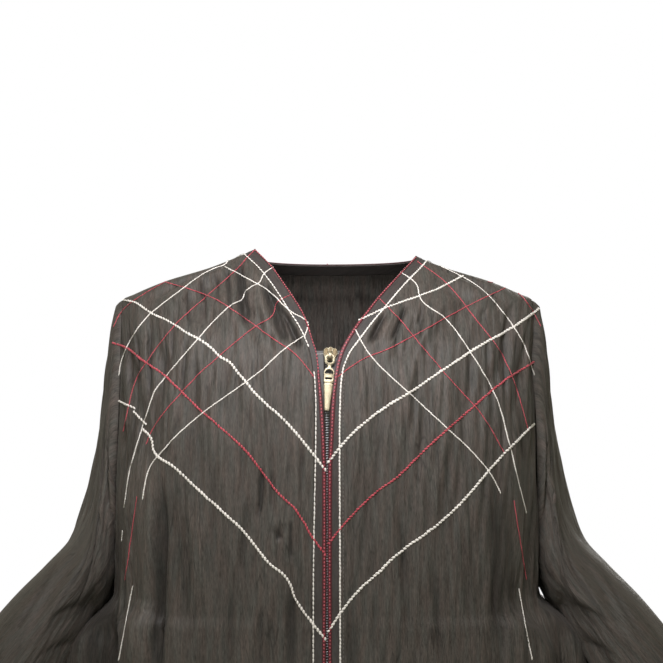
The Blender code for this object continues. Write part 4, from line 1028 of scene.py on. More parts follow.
def tapeMaterial(name, look):
    # woven zip tape: fine ribs both ways
    material, tree, shader = newMaterial(name)
    place = texturePlace(tree, False)
    ribs = []
    for axis in "XZ":
        wave = {"Vector": place, "Scale": look[axis], "Distortion": look["distortion"]}
        ribs.append(addNode(tree, "ShaderNodeTexWave", wave, bands_direction=axis).outputs["Fac"])
    weave = weighted(tree, [(rib, 0.5) for rib in ribs])
    finishShader(tree, shader, {
        "Base Color": blendColour(tree, weave, look["dark"], look["light"]), "Roughness": look["roughness"],
    }, weave, *look["bump"])
    return material


print("cloth panels")
clothMaterial = crepeMaterial("crinkledBlackCrepe", crepe)
bandMaterial = crepeMaterial("blackBandCloth", bandCloth)

panelGrid = {
    "rows": ((0, 1, 12), (1, 12, 96), (12, 16, 34), (16, 29, 62)), "frontPower": 0.95,
    "frontColumns": 150, "backColumns": 170, "bandColumns": 14, "sleeveColumns": 150, "sleeveGirth": 0.46,
    "sleeveRings": ((0, 3, 24), (3, 12, 84), (12, 15, 28)), "sleeveRipple": 0.6,
    "neckColumns": 120, "neckRows": 12,
    "hem": {"depth": 0.020, "groove": 0.0006, "fold": 0.0004, "soft": 0.0022},
    "cuff": {"depth": 0.015, "groove": 0.0006, "fold": 0.0004, "soft": 0.0020},
}
# where the right band rolls over its own seam, beside the slider
bandRoll = {"top": -0.090, "end": -0.127, "soft": 0.010, "height": 0.0024, "middle": 0.90, "half": 0.38}


panelRows = fineRows(panelGrid["rows"])


def frontPanel(side):
    shares = np.linspace(0.0, 1.0, panelGrid["frontColumns"] + 1) ** panelGrid["frontPower"]
    u, z = frontPlace(side, *gridOf(panelRows, shares))
    points = body(side, u, z)
    x, y = photoPlace(points)
    lift = creaseHeight(x, y, frontCreases if side == right else frontCreases + hiddenFrontCreases)
    return clothPiece("front_panel_" + sides[side], points, False, side == right, clothMaterial,
                      clothGrain(side, u, z, "front"), hem=panelGrid["hem"], lift=lift)


def frontBand(side):
    row, share = gridOf(panelRows, np.linspace(0.0, 1.0, panelGrid["bandColumns"] + 1))
    u, z = bandPlace(side, row, share)
    lift = None
    if side == right:
        roll = bandRoll
        window = smoothStep((roll["top"] - z) / roll["soft"]) * smoothStep((z - roll["end"]) / roll["soft"])
        lift = roll["height"] * window * np.exp(-((share - roll["middle"]) / roll["half"]) ** 2)
    return clothPiece("edge_band_" + sides[side], body(side, u, z), False, side == right, bandMaterial,
                      ripple=0.0, hem=panelGrid["hem"], lift=lift)


def backPanel():
    columns = np.linspace(0.0, lastColumn, panelGrid["backColumns"] + 1)
    row, column = gridOf(panelRows, columns)
    side, u, z = backPlace(column, row)
    points = body(side, u, z)
    x = photo["middle"] - points[..., 0] / photo["metresPerPixel"]
    y = photo["middle"] - (points[..., 2] - photo["eye"][2]) / photo["metresPerPixel"]
    return clothPiece("back_panel", points, False, True, clothMaterial, clothGrain(side, u, z, "back"),
                      hem=panelGrid["hem"], lift=creaseHeight(x, y, backCreases))


def neckGrid(rows):
    # rows of places round the back of the neck, from the right shoulder to the left
    turns = np.linspace(-1.0, 1.0, panelGrid["neckColumns"] + 1)
    share, turn = gridOf(np.linspace(0.0, 1.0, rows), turns)
    return (share, turn, *backNeckPlace(turn, "Edge", cut["backNeckZ"]))


def backBand():
    share, turn, side, u, edgeZ = neckGrid(panelGrid["neckRows"] + 1)
    bandZ = backNeckPlace(turn, "Band", cut["backBandZ"])[2]
    points = body(side, u, mix(edgeZ, bandZ, share))
    return clothPiece("back_neck_facing", points, False, True, bandMaterial, ripple=0.0)


def sleeve(side):
    columns = panelGrid["sleeveColumns"]
    ring, turn = gridOf(fineRows(panelGrid["sleeveRings"]), 0.5 + np.arange(columns + 1) / columns)
    points = sleeveSurface(side, ring[:, :-1], turn[:, :-1] % 1.0)
    down = columnLengths(points)[:, columns // 2, None]
    grain = np.stack([(turn - 1.0) * panelGrid["sleeveGirth"] * side, 0.0 * turn - down], axis=-1)
    return clothPiece("sleeve_tube_" + sides[side], points, True, side == left, clothMaterial, grain,
                      ripple=panelGrid["sleeveRipple"], hem=panelGrid["cuff"],
                      lift=sleeveCreaseHeight(ring, turn)[:, :-1])


cloth = {}
for side, name in sides.items():
    cloth["front_" + name] = frontPanel(side)
    cloth["front_band_" + name] = frontBand(side)
    cloth["sleeve_" + name] = sleeve(side)
cloth["back"] = backPanel()
cloth["back_neck_band"] = backBand()
for node, piece in cloth.items():
    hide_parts(node)
    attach(piece, "garment")


# a stitch's pitch, length, width and height in millimetres, slant in degrees, wander in millimetres and
# unevenness
stitchFields = ("Pitch", "Length", "Width", "Height", "Slant", "Wander", "Uneven")
stitchScales = (mm, mm, mm, mm, math.pi / 180, mm, 1.0)
stitchKinds = {
    "rope": (3.60, 4.3, 2.80, 1.70, -27, 1.8, 0.14),
    "cord": (3.30, 3.9, 2.25, 1.45, -24, 1.6, 0.13),
    "fine": (2.60, 3.7, 1.45, 1.00, -6, 1.6, 0.12),
    "thin": (2.60, 3.5, 1.10, 0.85, -6, 1.4, 0.12),
    "seam": (4.50, 4.7, 1.60, 1.10, 3, 0.5, 0.10),
    "thickSeam": (3.60, 4.2, 2.10, 1.30, 6, 0.8, 0.10),
    "dash": (3.40, 2.3, 1.35, 0.80, 0, 0.5, 0.12),
    "topstitch": (4.00, 2.6, 0.70, 0.50, 0, 0.5, 0.12),
    "tooth": (2.45, 1.45, 4.40, 1.50, 7, 0.0, 0.02),
}


def repeatTree():
    # short rounded pieces laid along lines: each turned to the line and to the cloth under it
    tree = bpy.data.node_groups.new("repeatAlongLines", "GeometryNodeTree")
    tree.is_modifier = True
    sockets = {
        "Geometry": ("Geometry",), "Float": stitchFields, "Int": ("Seed", "Segments", "Rings"),
        "Material": ("Material",),
    }
    for kind, names in sockets.items():
        for name in names:
            tree.interface.new_socket(name=name, in_out="INPUT", socket_type="NodeSocket" + kind)
    tree.interface.new_socket(name="Geometry", in_out="OUTPUT", socket_type="NodeSocketGeometry")
    given = tree.nodes.new("NodeGroupInput").outputs

    def make(kind, inputs=None, **settings):
        return madeBy(tree, kind, inputs, **settings)

    def vectors(operation, inputs):
        return make("ShaderNodeVectorMath", inputs, operation=operation)

    lines = make("GeometryNodeMeshToCurve", {"Mesh": given["Geometry"]})
    normal = make("GeometryNodeInputNamedAttribute", {"Name": "clothNormal"}, data_type="FLOAT_VECTOR")
    tangent = make("GeometryNodeInputTangent")
    noise = make("ShaderNodeTexNoise", {"Scale": 75.0, "Detail": 2.0})
    amount = maths(tree, "MULTIPLY", maths(tree, "SUBTRACT", noise, 0.5), given["Wander"])
    sideways = vectors("CROSS_PRODUCT", {0: normal, 1: tangent})
    offset = vectors("SCALE", {0: sideways, "Scale": amount})
    lines = make("GeometryNodeSetPosition", {"Geometry": lines, "Offset": offset})
    points = make("GeometryNodeResampleCurve", {"Curve": lines, "Length": given["Pitch"]}, mode="LENGTH")
    ball = {"Segments": given["Segments"], "Rings": given["Rings"], "Radius": 0.5}
    bead = make("GeometryNodeMeshUVSphere", ball)
    size = make("ShaderNodeCombineXYZ", {"X": given["Length"], "Y": given["Width"], "Z": given["Height"]})
    bead = make("GeometryNodeTransform", {"Geometry": bead, "Rotation": (0.0, math.pi / 2, 0.0)})
    bead = make("GeometryNodeTransform", {"Geometry": bead, "Scale": size})
    turn = make("FunctionNodeAlignRotationToVector", {"Vector": tangent}, axis="X")
    turn = make("FunctionNodeAlignRotationToVector", {"Rotation": turn, "Vector": normal},
                axis="Z", pivot_axis="X")
    limits = {2: -1.0, 3: 1.0, "Seed": given["Seed"]}
    chance = addNode(tree, "FunctionNodeRandomValue", limits, data_type="FLOAT")
    slant = maths(tree, "ADD", maths(tree, "MULTIPLY", chance.outputs[1], given["Uneven"]), given["Slant"])
    slant = make("FunctionNodeEulerToRotation", {0: make("ShaderNodeCombineXYZ", {"Z": slant})})
    turn = make("FunctionNodeRotateRotation", {"Rotation": turn, "Rotate By": slant}, rotation_space="LOCAL")
    limits = {0: (-1.0, -1.0, -1.0), 1: (1.0, 1.0, 1.0), "Seed": given["Seed"]}
    chance = make("FunctionNodeRandomValue", limits, data_type="FLOAT_VECTOR")
    scale = vectors("SCALE", {0: chance, "Scale": given["Uneven"]})
    scale = vectors("ADD", {0: scale, 1: (1.0, 1.0, 1.0)})
    placing = {"Points": points, "Instance": bead, "Rotation": turn, "Scale": scale}
    real = make("GeometryNodeRealizeInstances", {"Geometry": make("GeometryNodeInstanceOnPoints", placing)})
    real = make("GeometryNodeSetShadeSmooth", {"Geometry": real})
    real = make("GeometryNodeSetMaterial", {"Geometry": real, "Material": given["Material"]})
    tree.links.new(real, tree.nodes.new("NodeGroupOutput").inputs[0])
    return tree


def repeatPiece(name, lines, kind, material, seed=1, detail=(6, 4)):
    # bakes the repeats along lines of (points, normals) to one plain mesh
    vertices, edges, normals = [], [], []
    for points, directions in lines:
        start = len(vertices)
        vertices += [tuple(point) for point in points]
        normals += [tuple(direction) for direction in directions]
        edges += [(i, i + 1) for i in range(start, len(vertices) - 1)]
    mesh = bpy.data.meshes.new(name)
    mesh.from_pydata(vertices, edges, [])
    mesh.attributes.new("clothNormal", "FLOAT_VECTOR", "POINT").data.foreach_set(
        "vector", np.array(normals, np.float32).ravel())
    piece = addObject(name, mesh)
    values = {"Seed": seed, "Segments": detail[0], "Rings": detail[1], "Material": material}
    for field, value, scale in zip(stitchFields, stitchKinds[kind], stitchScales):
        values[field] = value * scale
    modifier = piece.modifiers.new("repeats", "NODES")
    modifier.node_group = lineRepeats
    for item in lineRepeats.interface.items_tree:
        if item.in_out == "INPUT" and item.name in values:
            modifier[item.identifier] = values[item.name]
    baked = bakedMesh(piece)
    piece.modifiers.remove(modifier)
    piece.data = baked
    piece.data.name = name
    return piece


def surfaceTree(names):
    vertices, faces = [], []
    for name in names:
        quads = gridFaces(*grids[name].shape[:2], name.startswith("sleeve_tube"))[1]
        faces += (quads + len(vertices)).tolist()
        vertices += grids[name].reshape(-1, 3).tolist()
    return BVHTree.FromPolygons(vertices, faces)


# laying of sewn lines: step in pixels, depth into the cloth, points that a taut thread bridges, and the
# reach of the search for the cloth in metres
laying = {"step": 1.6, "sink": 0.0003, "taut": 5, "above": 0.012, "reach": 0.030, "shortest": 3}


def curveThrough(points, step):
    # an even run of points along a smooth curve through a few
    points = np.array(points, float)
    run = columnLengths(points)
    table = columnTable("run x y", np.column_stack([run, points]).tolist())
    at = np.linspace(0.0, run[-1], max(2, int(run[-1] / step) + 1))
    return np.stack([readTable(table, name, at) for name in "xy"], axis=-1)


def photoLine(tree, points):
    # a sewn line of the photograph, laid on the cloth where the eye sees it; it breaks where it leaves
    # the cloth, and bridges small dips as a taut thread does
    eye = Vector(photo["eye"])
    runs = [[]]
    for x, y in curveThrough(points, laying["step"]):
        ray = photoRay(x, y)
        _, normal, _, far = tree.ray_cast(eye, ray)
        if normal is None:
            runs.append([])
        else:
            runs[-1].append((ray, normal if normal.dot(ray) < 0 else -normal, far))
    lines = []
    count = laying["taut"]
    for run in runs:
        if len(run) < laying["shortest"]:
            continue
        rays, normals, depths = zip(*run)
        padded = np.pad(depths, count // 2, mode="reflect", reflect_type="odd")
        depths = np.minimum(depths, np.convolve(padded, np.full(count, 1 / count), "valid"))
        places = [eye + ray * float(far) + normal * laying["sink"]
                  for ray, normal, far in zip(rays, normals, depths)]
        lines.append((places, normals))
    return lines


def clothLine(tree, points, normals):
    # a sewn line laid on the finished cloth from points of the smooth surface
    places, directions = [], []
    for point, normal in zip(points, normals):
        normal = Vector(normal)
        start = Vector(point) + normal * laying["above"]
        place, found, _, _ = tree.ray_cast(start, -normal, laying["reach"])
        if place is None:
            continue
        if found.dot(normal) < 0:
            found = -found
        places.append(place + found * laying["sink"])
        directions.append(found)
    return [(places, directions)]


# Sewn lines of the trellis as the photograph shows them, in its pixels, on the wearer's right and
# left, by colour and kind of stitch
trellis = {
    right: {
        ("white", "fine"): [
            [(225, 267), (241, 275), (270, 292), (290, 311), (306, 321), (308, 325), (305, 335)],
            [(231, 257), (224, 265), (216, 267.5), (212, 269), (195, 279.5), (181, 290), (164, 303),
             (151, 313), (139, 327), (127, 347), (121, 363), (119, 374)],
            [(275, 266), (263.5, 274.5), (259.6, 282.5), (252, 286.5), (245.7, 291.3), (242, 299),
             (232.5, 304.5), (217, 318), (197, 340), (179, 361), (163, 380), (154, 392.6), (149, 407),
             (143.7, 423.4), (138, 441), (133.5, 457), (129.4, 472), (124.2, 507)],
            [(122.5, 532), (121.8, 540)],
            [(305, 335), (286, 348), (258, 373), (225, 397), (200, 415), (175, 437), (159.2, 455),
             (150.2, 467), (145.8, 480), (142.8, 498)],
            [(132.4, 587), (126, 622), (119, 659)],
        ],
        ("crimson", "thin"): [
            [(165, 282), (192, 290), (219, 301), (240, 315), (271, 337), (296, 355), (314, 377)],
            [(165, 282), (144, 294), (125, 308), (118, 317), (114, 326)],
            [(256, 249), (247, 258), (240, 266), (225, 280), (207, 296), (176, 324), (165, 337), (148, 360),
             (136, 380), (129, 405), (123.5, 430)],
            [(292, 294), (277, 303), (272, 316), (256, 326), (230, 347), (198, 375), (182, 392),
             (168.7, 407), (158.4, 420.4), (151.8, 431), (146.6, 443)],
            [(136.9, 498), (131, 538), (125, 579)],
        ],
        ("white", "cord"): [
            [(119, 299), (134, 302), (151, 313), (168, 321), (189, 334)],
            [(119, 401), (134, 408)],
            [(134, 412), (146, 424)],
        ],
        ("white", "rope"): [
            [(189, 334), (209, 346), (219, 356), (230, 363), (240, 375), (260, 398), (285, 421), (313, 454),
             (327, 472)],
            [(144, 430), (152, 440), (153, 448), (157, 455), (175, 468), (190, 482), (203, 494), (223, 512),
             (246, 534), (268, 562), (288, 580), (296, 600), (311, 621), (326, 640)],
        ],
        ("crimson", "cord"): [
            [(113, 343), (127, 348), (141, 359), (165, 376), (182, 392)],
            [(182, 392), (196, 406), (221, 428), (245, 450), (263, 473), (278, 493), (295, 509), (313, 538),
             (327, 557)],
        ],
    },
    left: {
        ("white", "cord"): [
            [(463, 276), (435, 290), (405, 301), (385, 308), (360, 320)],
        ],
        ("crimson", "thin"): [
            [(505, 288), (462, 309), (419, 333), (386, 350), (363, 359), (336, 378)],
            [(489, 282), (504, 285), (519, 294), (532, 310), (540, 325)],
            [(418, 262), (444, 281), (475, 318), (505, 360), (520, 400), (528, 430)],
            [(378, 297), (400, 320), (425, 350), (458, 388), (482, 415), (504, 452)],
            [(514, 502), (520, 540), (526, 578)],
        ],
        ("white", "rope"): [
            [(540, 308), (518, 324), (480, 346), (439, 373), (409, 393), (386, 407), (362, 425), (341, 446),
             (328, 463)],
            [(534, 424), (500, 458), (458, 506), (431, 530), (404, 549), (369, 581), (361, 588), (342, 611),
             (328, 632)],
        ],
        ("crimson", "cord"): [
            [(534, 362), (504, 381), (472, 408), (426, 449), (397, 477), (374, 494), (347, 521), (329, 543)],
        ],
        ("white", "fine"): [
            [(421, 257), (442, 267), (459, 275), (479, 287), (502, 311), (524, 345), (534, 374)],
            [(400, 272), (416, 284), (421, 300), (445, 318), (473, 356), (498, 402), (506, 430), (518, 480),
             (526, 512)],
            [(353, 326), (370, 355), (409, 393), (449, 430), (475, 455), (490, 473), (500, 492)],
            [(519, 590), (525, 624), (532, 658)],
        ],
    },
}

threadMaterials = {name: spunMaterial(name + "Thread", look) for name, look in threads.items()}
lineRepeats = repeatTree()
allCloth = surfaceTree(list(grids))

# seams down the bands: their share of the band's width, where the right one passes under the band's roll,
# how far and where it leans towards the zip below that, and the left front's own topstitches outside
seams = {
    "share": 0.96, "rows": ((0.05, 12, 149), (12, 29, 239)), "rollTop": cut["zipTopZ"], "rollEnd": -0.124,
    "lean": 0.12, "leanEnd": -0.26, "leanRun": 0.13, "topstitchTop": -0.131, "topstitchOut": 0.0028,
    "neckPoints": 90, "hemRows": 60, "hemRise": 0.0001,
}
seamRows = fineRows(seams["rows"])


def surfaceLine(side, u, z):
    return clothLine(allCloth, body(side, u, z), surfaceNormal(body, side, u, z))


def bandLine(side, share, top=0.0, end=-math.inf, offset=0.0, lean=0.0):
    # a line down the band at a share of its width, or a distance outside its outer line
    u, z = bandPlace(side, seamRows, np.full(seamRows.shape, share))
    if lean:
        away = smoothStep((z - seams["leanEnd"]) / seams["leanRun"])
        u = bandPlace(side, seamRows, share - lean * away)[0]
    if offset:
        u = girthOfX(readTable(frontEdges, sides[side] + "Band", z) + offset, z)
    keep = (z <= top) & (z >= end)
    return surfaceLine(side, u[keep], z[keep])


def sew(pieces, name, lines, kind, colour, seed):
    pieces[name] = repeatPiece(name, lines, kind, threadMaterials[colour], seed)


print("threads")
sewn = {}
for side, name in sides.items():
    fronts = surfaceTree([piece + name for piece in ("front_panel_", "edge_band_", "sleeve_tube_")])
    for (colour, kind), group in trellis[side].items():
        lines = [line for points in group for line in photoLine(fronts, points)]
        sew(sewn, "trellis_" + colour + "_" + kind + "_" + name, lines, kind, colour, len(sewn) + 1)
    share = seams["share"]
    if side == right:
        lines = bandLine(side, share, end=seams["rollTop"])
        lines += bandLine(side, share, top=seams["rollEnd"], lean=seams["lean"])
        sew(sewn, "seam_white_right", lines, "seam", "white", 4)
    else:
        sew(sewn, "seam_white_left", bandLine(side, share), "thickSeam", "white", 6)
        lines = bandLine(side, 1.0, top=seams["topstitchTop"], offset=seams["topstitchOut"])
        sew(sewn, "topstitch_left", lines, "topstitch", "black", 9)
neckTurn = np.linspace(-1.0, 1.0, seams["neckPoints"])
neckLine = surfaceLine(*backNeckPlace(neckTurn, "Band", cut["backBandZ"]))
sew(sewn, "seam_white_back", neckLine, "seam", "white", 8)


def hemLine(name, depth):
    # the hem's stitches, an even distance up from the free edge
    grid, normals = grids[name], outward[name]
    rows = seams["hemRows"]
    fromHem = columnLengths(grid[:-rows - 1:-1])[::-1]
    row = rows - 1 - np.argmax(fromHem[::-1] > depth, axis=0)
    column = np.arange(grid.shape[1])
    nearer, further = fromHem[row + 1, column], fromHem[row, column]
    share = ((depth - nearer) / (further - nearer))[:, None]
    at = grid.shape[0] - rows + row
    directions = normals[at, column]
    points = mix(grid[at + 1, column], grid[at, column], share) + directions * seams["hemRise"]
    if name.startswith("sleeve_tube"):
        points, directions = [np.concatenate([line, line[:1]]) for line in (points, directions)]
    return points, directions


hems = [hemLine(name, panelGrid["cuff" if "sleeve" in name else "hem"]["depth"]) for name in grids
        if not name.startswith("back_neck")]
sew(sewn, "hem_stitches", hems, "topstitch", "black", 12)
for piece in sewn.values():
    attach(piece, "garment")


# Crimson edge: how far it reaches onto the band and past its edge, in millimetres
edgeStrip = columnTable("z rightReach leftReach rightPast leftPast", [
    (0.000, 1.6, 2.0, 0.3, 0.3),
    (-0.030, 1.5, 2.2, 0.3, 0.3),
    (-0.060, 1.8, 2.8, 0.3, 0.4),
    (-0.085, 1.7, 4.0, 0.3, 0.4),
    (-0.100, 0.9, 4.2, 0.3, 0.4),
    (-0.118, 0.9, 4.0, 0.3, 0.4),
    (-0.128, 2.6, 3.9, 0.4, 0.4),
    (-0.160, 3.4, 3.9, 0.4, 0.4),
    (-0.200, 3.4, 3.6, 0.5, 0.5),
    (-0.230, 3.2, 3.4, 0.9, 0.9),
    (-0.330, 3.2, 3.3, 0.9, 0.9),
    (-0.360, 3.3, 3.3, 0.4, 0.4),
    (-1.400, 3.3, 3.3, 0.4, 0.4),
])
strip = {
    "rise": 0.00035, "crown": 0.00045, "under": 0.0001, "columns": 7, "backReach": 0.0022, "backPast": 0.0003,
    "dashSkip": 4,
}


def stripPiece(name, points, flip):
    # a thin bound strip, fullest along its middle, with the line of its stitches
    share = np.linspace(-1.0, 1.0, points.shape[1])
    rise = strip["rise"] + strip["crown"] * np.sqrt(1.0 - share ** 2)
    normals = outwardNormals(points, False, flip)
    outer = points + normals * rise[:, None]
    piece = shellPiece(name, outer, points + normals * strip["under"], np.stack(gridLengths(points), axis=-1),
                       False, flip, stripMaterial)
    middle = points.shape[1] // 2
    return piece, (outer[:, middle], normals[:, middle])


def crimsonEdge(side):
    name = sides[side]
    row, share = gridOf(panelRows[:-1], np.linspace(0.0, 1.0, strip["columns"]))
    z = bandPlace(side, row, 0 * row)[1]
    width = readTable(frontEdges, name + "Band", z) - readTable(frontEdges, name + "Edge", z)
    low = -readTable(edgeStrip, name + "Past", z) * mm / width
    high = readTable(edgeStrip, name + "Reach", z) * mm / width
    u, z = bandPlace(side, row, mix(low, high, share))
    return stripPiece("crimson_edge_" + name, body(side, u, z), side == right)


def crimsonNeck():
    share, turn, side, u, edgeZ = neckGrid(strip["columns"])
    z = edgeZ + mix(strip["backPast"], -strip["backReach"], share)
    return stripPiece("crimson_edge_back", body(side, u, np.minimum(z, 0.0)), True)


print("crimson edge")
stripMaterial = spunMaterial("crimsonTape", boundTape)
edges = {}
for side, name in sides.items():
    edges["crimson_edge_" + name], (points, normals) = crimsonEdge(side)
    skip = strip["dashSkip"]
    sew(edges, "edge_dashes_" + name, [(points[skip:], normals[skip:])], "dash", "rose", 20 + side)
edges["crimson_edge_back"], line = crimsonNeck()
sew(edges, "edge_dashes_back", [line], "dash", "rose", 24)
for piece in edges.values():
    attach(piece, "garment")


# Zip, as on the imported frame: depths from the cloth's outer face, half widths, and the slider's own frame
zipSizes = {
    "toothDepth": 0.0024, "tapeDepth": 0.0021, "tapeWall": 0.0009, "tapeInner": 0.0031, "tapeOuter": 0.0150,
    "tapeBelow": 0.006, "tapeRows": 300, "tapeColumns": 9, "rib": 0.00012, "ribAt": 0.12, "ribSoft": 0.07,
    "chainEnd": 0.001, "chainPoints": 500, "sliderHeight": 0.0155, "lean": math.radians(3.4),
    "leanDrop": 0.0625, "pivotDrop": 0.0110, "pivotOut": 0.0021, "pullLean": math.radians(5.0),
}


def zipMiddle(z, depth):
    normals = surfaceNormal(plainBody, right, 0.0 * z, z)
    normals[..., 0] = 0.0
    normals = unit(normals)
    return plainBody(right, 0.0 * z, z) - normals * depth, normals


def sliderFrame():
    heights = np.array([cut["zipTopZ"], cut["zipTopZ"] - zipSizes["sliderHeight"]])
    top, low = (Vector(point) for point in plainBody(right, 0.0 * heights, heights))
    tilt = math.atan2((low - top).y, (top - low).z)
    drop = Vector((0.0, 0.0, -zipSizes["leanDrop"]))
    lean = Matrix.Translation(drop) @ Matrix.Rotation(zipSizes["lean"], 4, "Y") @ Matrix.Translation(-drop)
    return Matrix.Translation(top) @ Matrix.Rotation(tilt, 4, "X") @ lean


def pullFrame():
    place = Vector((0.0, -zipSizes["pivotOut"], -zipSizes["pivotDrop"]))
    return sliderFrame() @ Matrix.Translation(place) @ Matrix.Rotation(zipSizes["pullLean"], 4, "X")


def zipTape(side):
    # a woven tape beside the chain, with a slight rib near its inner edge
    size = zipSizes
    heights = np.linspace(cut["tapeTopZ"], cut["zipEndZ"] - size["tapeBelow"], size["tapeRows"])
    z, share = gridOf(heights, np.linspace(0.0, 1.0, size["tapeColumns"]))
    middle, normals = zipMiddle(z, size["tapeDepth"])
    rib = size["rib"] * np.exp(-((share - size["ribAt"]) / size["ribSoft"]) ** 2)
    outer = middle + normals * rib[..., None]
    outer[..., 0] += side * mix(size["tapeInner"], size["tapeOuter"], share)
    inner = outer - normals * size["tapeWall"]
    uv = np.stack(gridLengths(outer), axis=-1)
    return shellPiece("woven_tape_" + sides[side], outer, inner, uv, False, side == right, tapeCloth), outer


def tubeAlong(path, radius, spokes=10):
    # a round wire along a closed path in a plane of the slider's frame, where y is out of the plane
    path = np.array(path, float)
    ahead = np.roll(path, -1, axis=0) - np.roll(path, 1, axis=0)
    away = unit(np.cross(unit(ahead), [0.0, 1.0, 0.0]))
    angle = np.arange(spokes) * 2 * math.pi / spokes
    ring = away[:, None] * np.cos(angle)[:, None] + np.array([0.0, 1.0, 0.0]) * np.sin(angle)[:, None]
    vertices = (path[:, None] + ring * radius).reshape(-1, 3)
    count = len(path)
    faces = []
    for i in range(count):
        for k in range(spokes):
            n, m = (i + 1) % count, (k + 1) % spokes
            faces.append((i * spokes + k, n * spokes + k, n * spokes + m, i * spokes + m))
    return vertices, faces


def beadShape(centre, radii, segments=16, rings=10):
    # an ellipsoid with closed poles
    work = bmesh.new()
    bmesh.ops.create_uvsphere(work, u_segments=segments, v_segments=rings, radius=1.0)
    vertices = np.array([vertex.co for vertex in work.verts]) * np.array(radii) + np.array(centre)
    faces = [tuple(vertex.index for vertex in face.verts) for face in work.faces]
    work.free()
    return vertices, faces


def ovalPath(x, z, halfX, halfZ, y, lean=0.0, count=28):
    angle = np.arange(count) * 2 * math.pi / count
    a, b = halfX * np.cos(angle), halfZ * np.sin(angle)
    return np.stack([x + a * math.cos(lean) - b * math.sin(lean), 0 * a + y,
                     z + a * math.sin(lean) + b * math.cos(lean)], axis=-1)


def castPlate(loops, front, back, edge, across=False):
    # a flat casting with rounded edges and holes, from smooth outlines in millimetres; its plane is
    # the slider's face, or for across the plane square to it
    data = bpy.data.curves.new("plate", "CURVE")
    data.dimensions = "2D"
    data.fill_mode = "BOTH"
    data.extrude = abs(back - front) * mm / 2 - edge
    data.bevel_depth = edge
    data.bevel_resolution = 1
    data.offset = -edge
    data.resolution_u = 5
    for loop in loops:
        spline = data.splines.new("BEZIER")
        spline.bezier_points.add(len(loop) - 1)
        spline.use_cyclic_u = True
        for point, (a, b) in zip(spline.bezier_points, loop):
            point.co = (a * mm, b * mm, 0.0)
            point.handle_left_type = point.handle_right_type = "AUTO"
    holder = addObject("plate", data)
    mesh = bakedMesh(holder)
    bpy.data.objects.remove(holder)
    middle = (front + back) * mm / 2
    if across:
        vertices = [(point.co.z + middle, point.co.x, point.co.y) for point in mesh.vertices]
    else:
        vertices = [(point.co.x, middle - point.co.z, point.co.y) for point in mesh.vertices]
    return vertices, [tuple(face.vertices) for face in mesh.polygons]


def bothSides(half):
    # a whole outline from its right half, top to bottom
    return half + [(-x, z) for x, z in reversed(half) if abs(x) > 0.01]


def metalPiece(name, node, place, parts):
    # cast parts in the slider's or the pull's own frame: (vertices, faces, material number); number 1 is the
    # darker metal of painted shade
    work = bmesh.new()
    for vertices, faces, material in parts:
        made = [work.verts.new(place @ Vector(vertex)) for vertex in vertices]
        for face in faces:
            work.faces.new([made[i] for i in face]).material_index = material
    bmesh.ops.remove_doubles(work, verts=work.verts, dist=2e-6)
    bmesh.ops.recalc_face_normals(work, faces=work.faces)
    mesh = bpy.data.meshes.new(name)
    work.to_mesh(mesh)
    work.free()
    mesh.materials.append(metal)
    mesh.materials.append(hollowMetal)
    mesh.shade_smooth()
    mesh.set_sharp_from_angle(angle=castSizes["sharp"])
    piece = addObject(name, mesh)
    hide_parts(node)
    return piece


# outlines in millimetres, x and z from the slider's top and from the pull's pivot; the bridge's, seen from
# the side, has y for x
sliderOutline = bothSides([
    (0.0, -1.2), (1.6, -1.7), (2.3, -2.5), (4.2, -2.4), (5.9, -3.9), (6.9, -6.1), (7.0, -8.2), (6.3, -10.2),
    (5.4, -11.8), (4.9, -13.4), (3.6, -15.0), (0.0, -15.5),
])
rearOutline = bothSides([
    (0.0, -1.2), (2.6, -1.4), (5.2, -3.0), (6.4, -6.0), (6.0, -9.5), (4.8, -13.0), (3.4, -14.9), (0.0, -15.4),
])
bridgeOutline = [
    (-0.4, -7.4), (-2.4, -7.0), (-4.0, -7.6), (-4.8, -9.2), (-4.8, -12.6), (-4.0, -14.3), (-2.4, -15.0),
    (-0.4, -14.8), (-0.4, -13.4), (-2.6, -13.5), (-3.5, -12.4), (-3.5, -9.6), (-2.6, -8.6), (-0.4, -8.7),
]
pullOutline = bothSides([
    (0.0, 0.75), (2.6, 0.50), (4.5, -0.9), (5.2, -3.0), (5.1, -5.2), (4.5, -7.3), (3.1, -9.0), (1.8, -9.9),
    (1.7, -11.2), (2.0, -12.4), (3.8, -13.7), (4.8, -15.9), (5.1, -18.4), (4.8, -20.0), (4.7, -26.8),
    (4.4, -27.5), (3.1, -28.2), (4.3, -28.9), (4.5, -29.8), (3.4, -44.0), (2.4, -54.8), (1.9, -55.5),
    (0.0, -55.6),
])
pullHoles = [
    bothSides([(0.0, -0.75), (1.9, -1.3), (2.5, -3.6), (2.4, -6.2), (1.6, -7.2), (0.0, -7.4)]),
    bothSides([(0.0, -13.9), (2.2, -14.9), (3.5, -16.8), (3.8, -18.2), (3.3, -18.5), (0.0, -18.5)]),
    bothSides([(0.0, -22.7), (2.9, -22.7), (3.2, -23.4), (2.9, -24.1), (0.0, -24.1)]),
]
# casting in millimetres: front and back of each plate, both sides of the bridge; in metres: rounded edges
# and rims
castSizes = {
    "plate": (-0.6, 0.9), "rear": (4.1, 5.3), "bridge": (-1.7, 1.7), "pull": (-0.7, 0.7), "post": (0.7, 4.3),
    "edge": 0.00030, "postEdge": 0.0001, "rim": 0.00034, "rimWire": 0.00030, "sharp": math.radians(38.0),
}
postOutline = [(-1.0, -1.6), (1.0, -1.6), (1.0, -5.2), (-1.0, -5.2)]
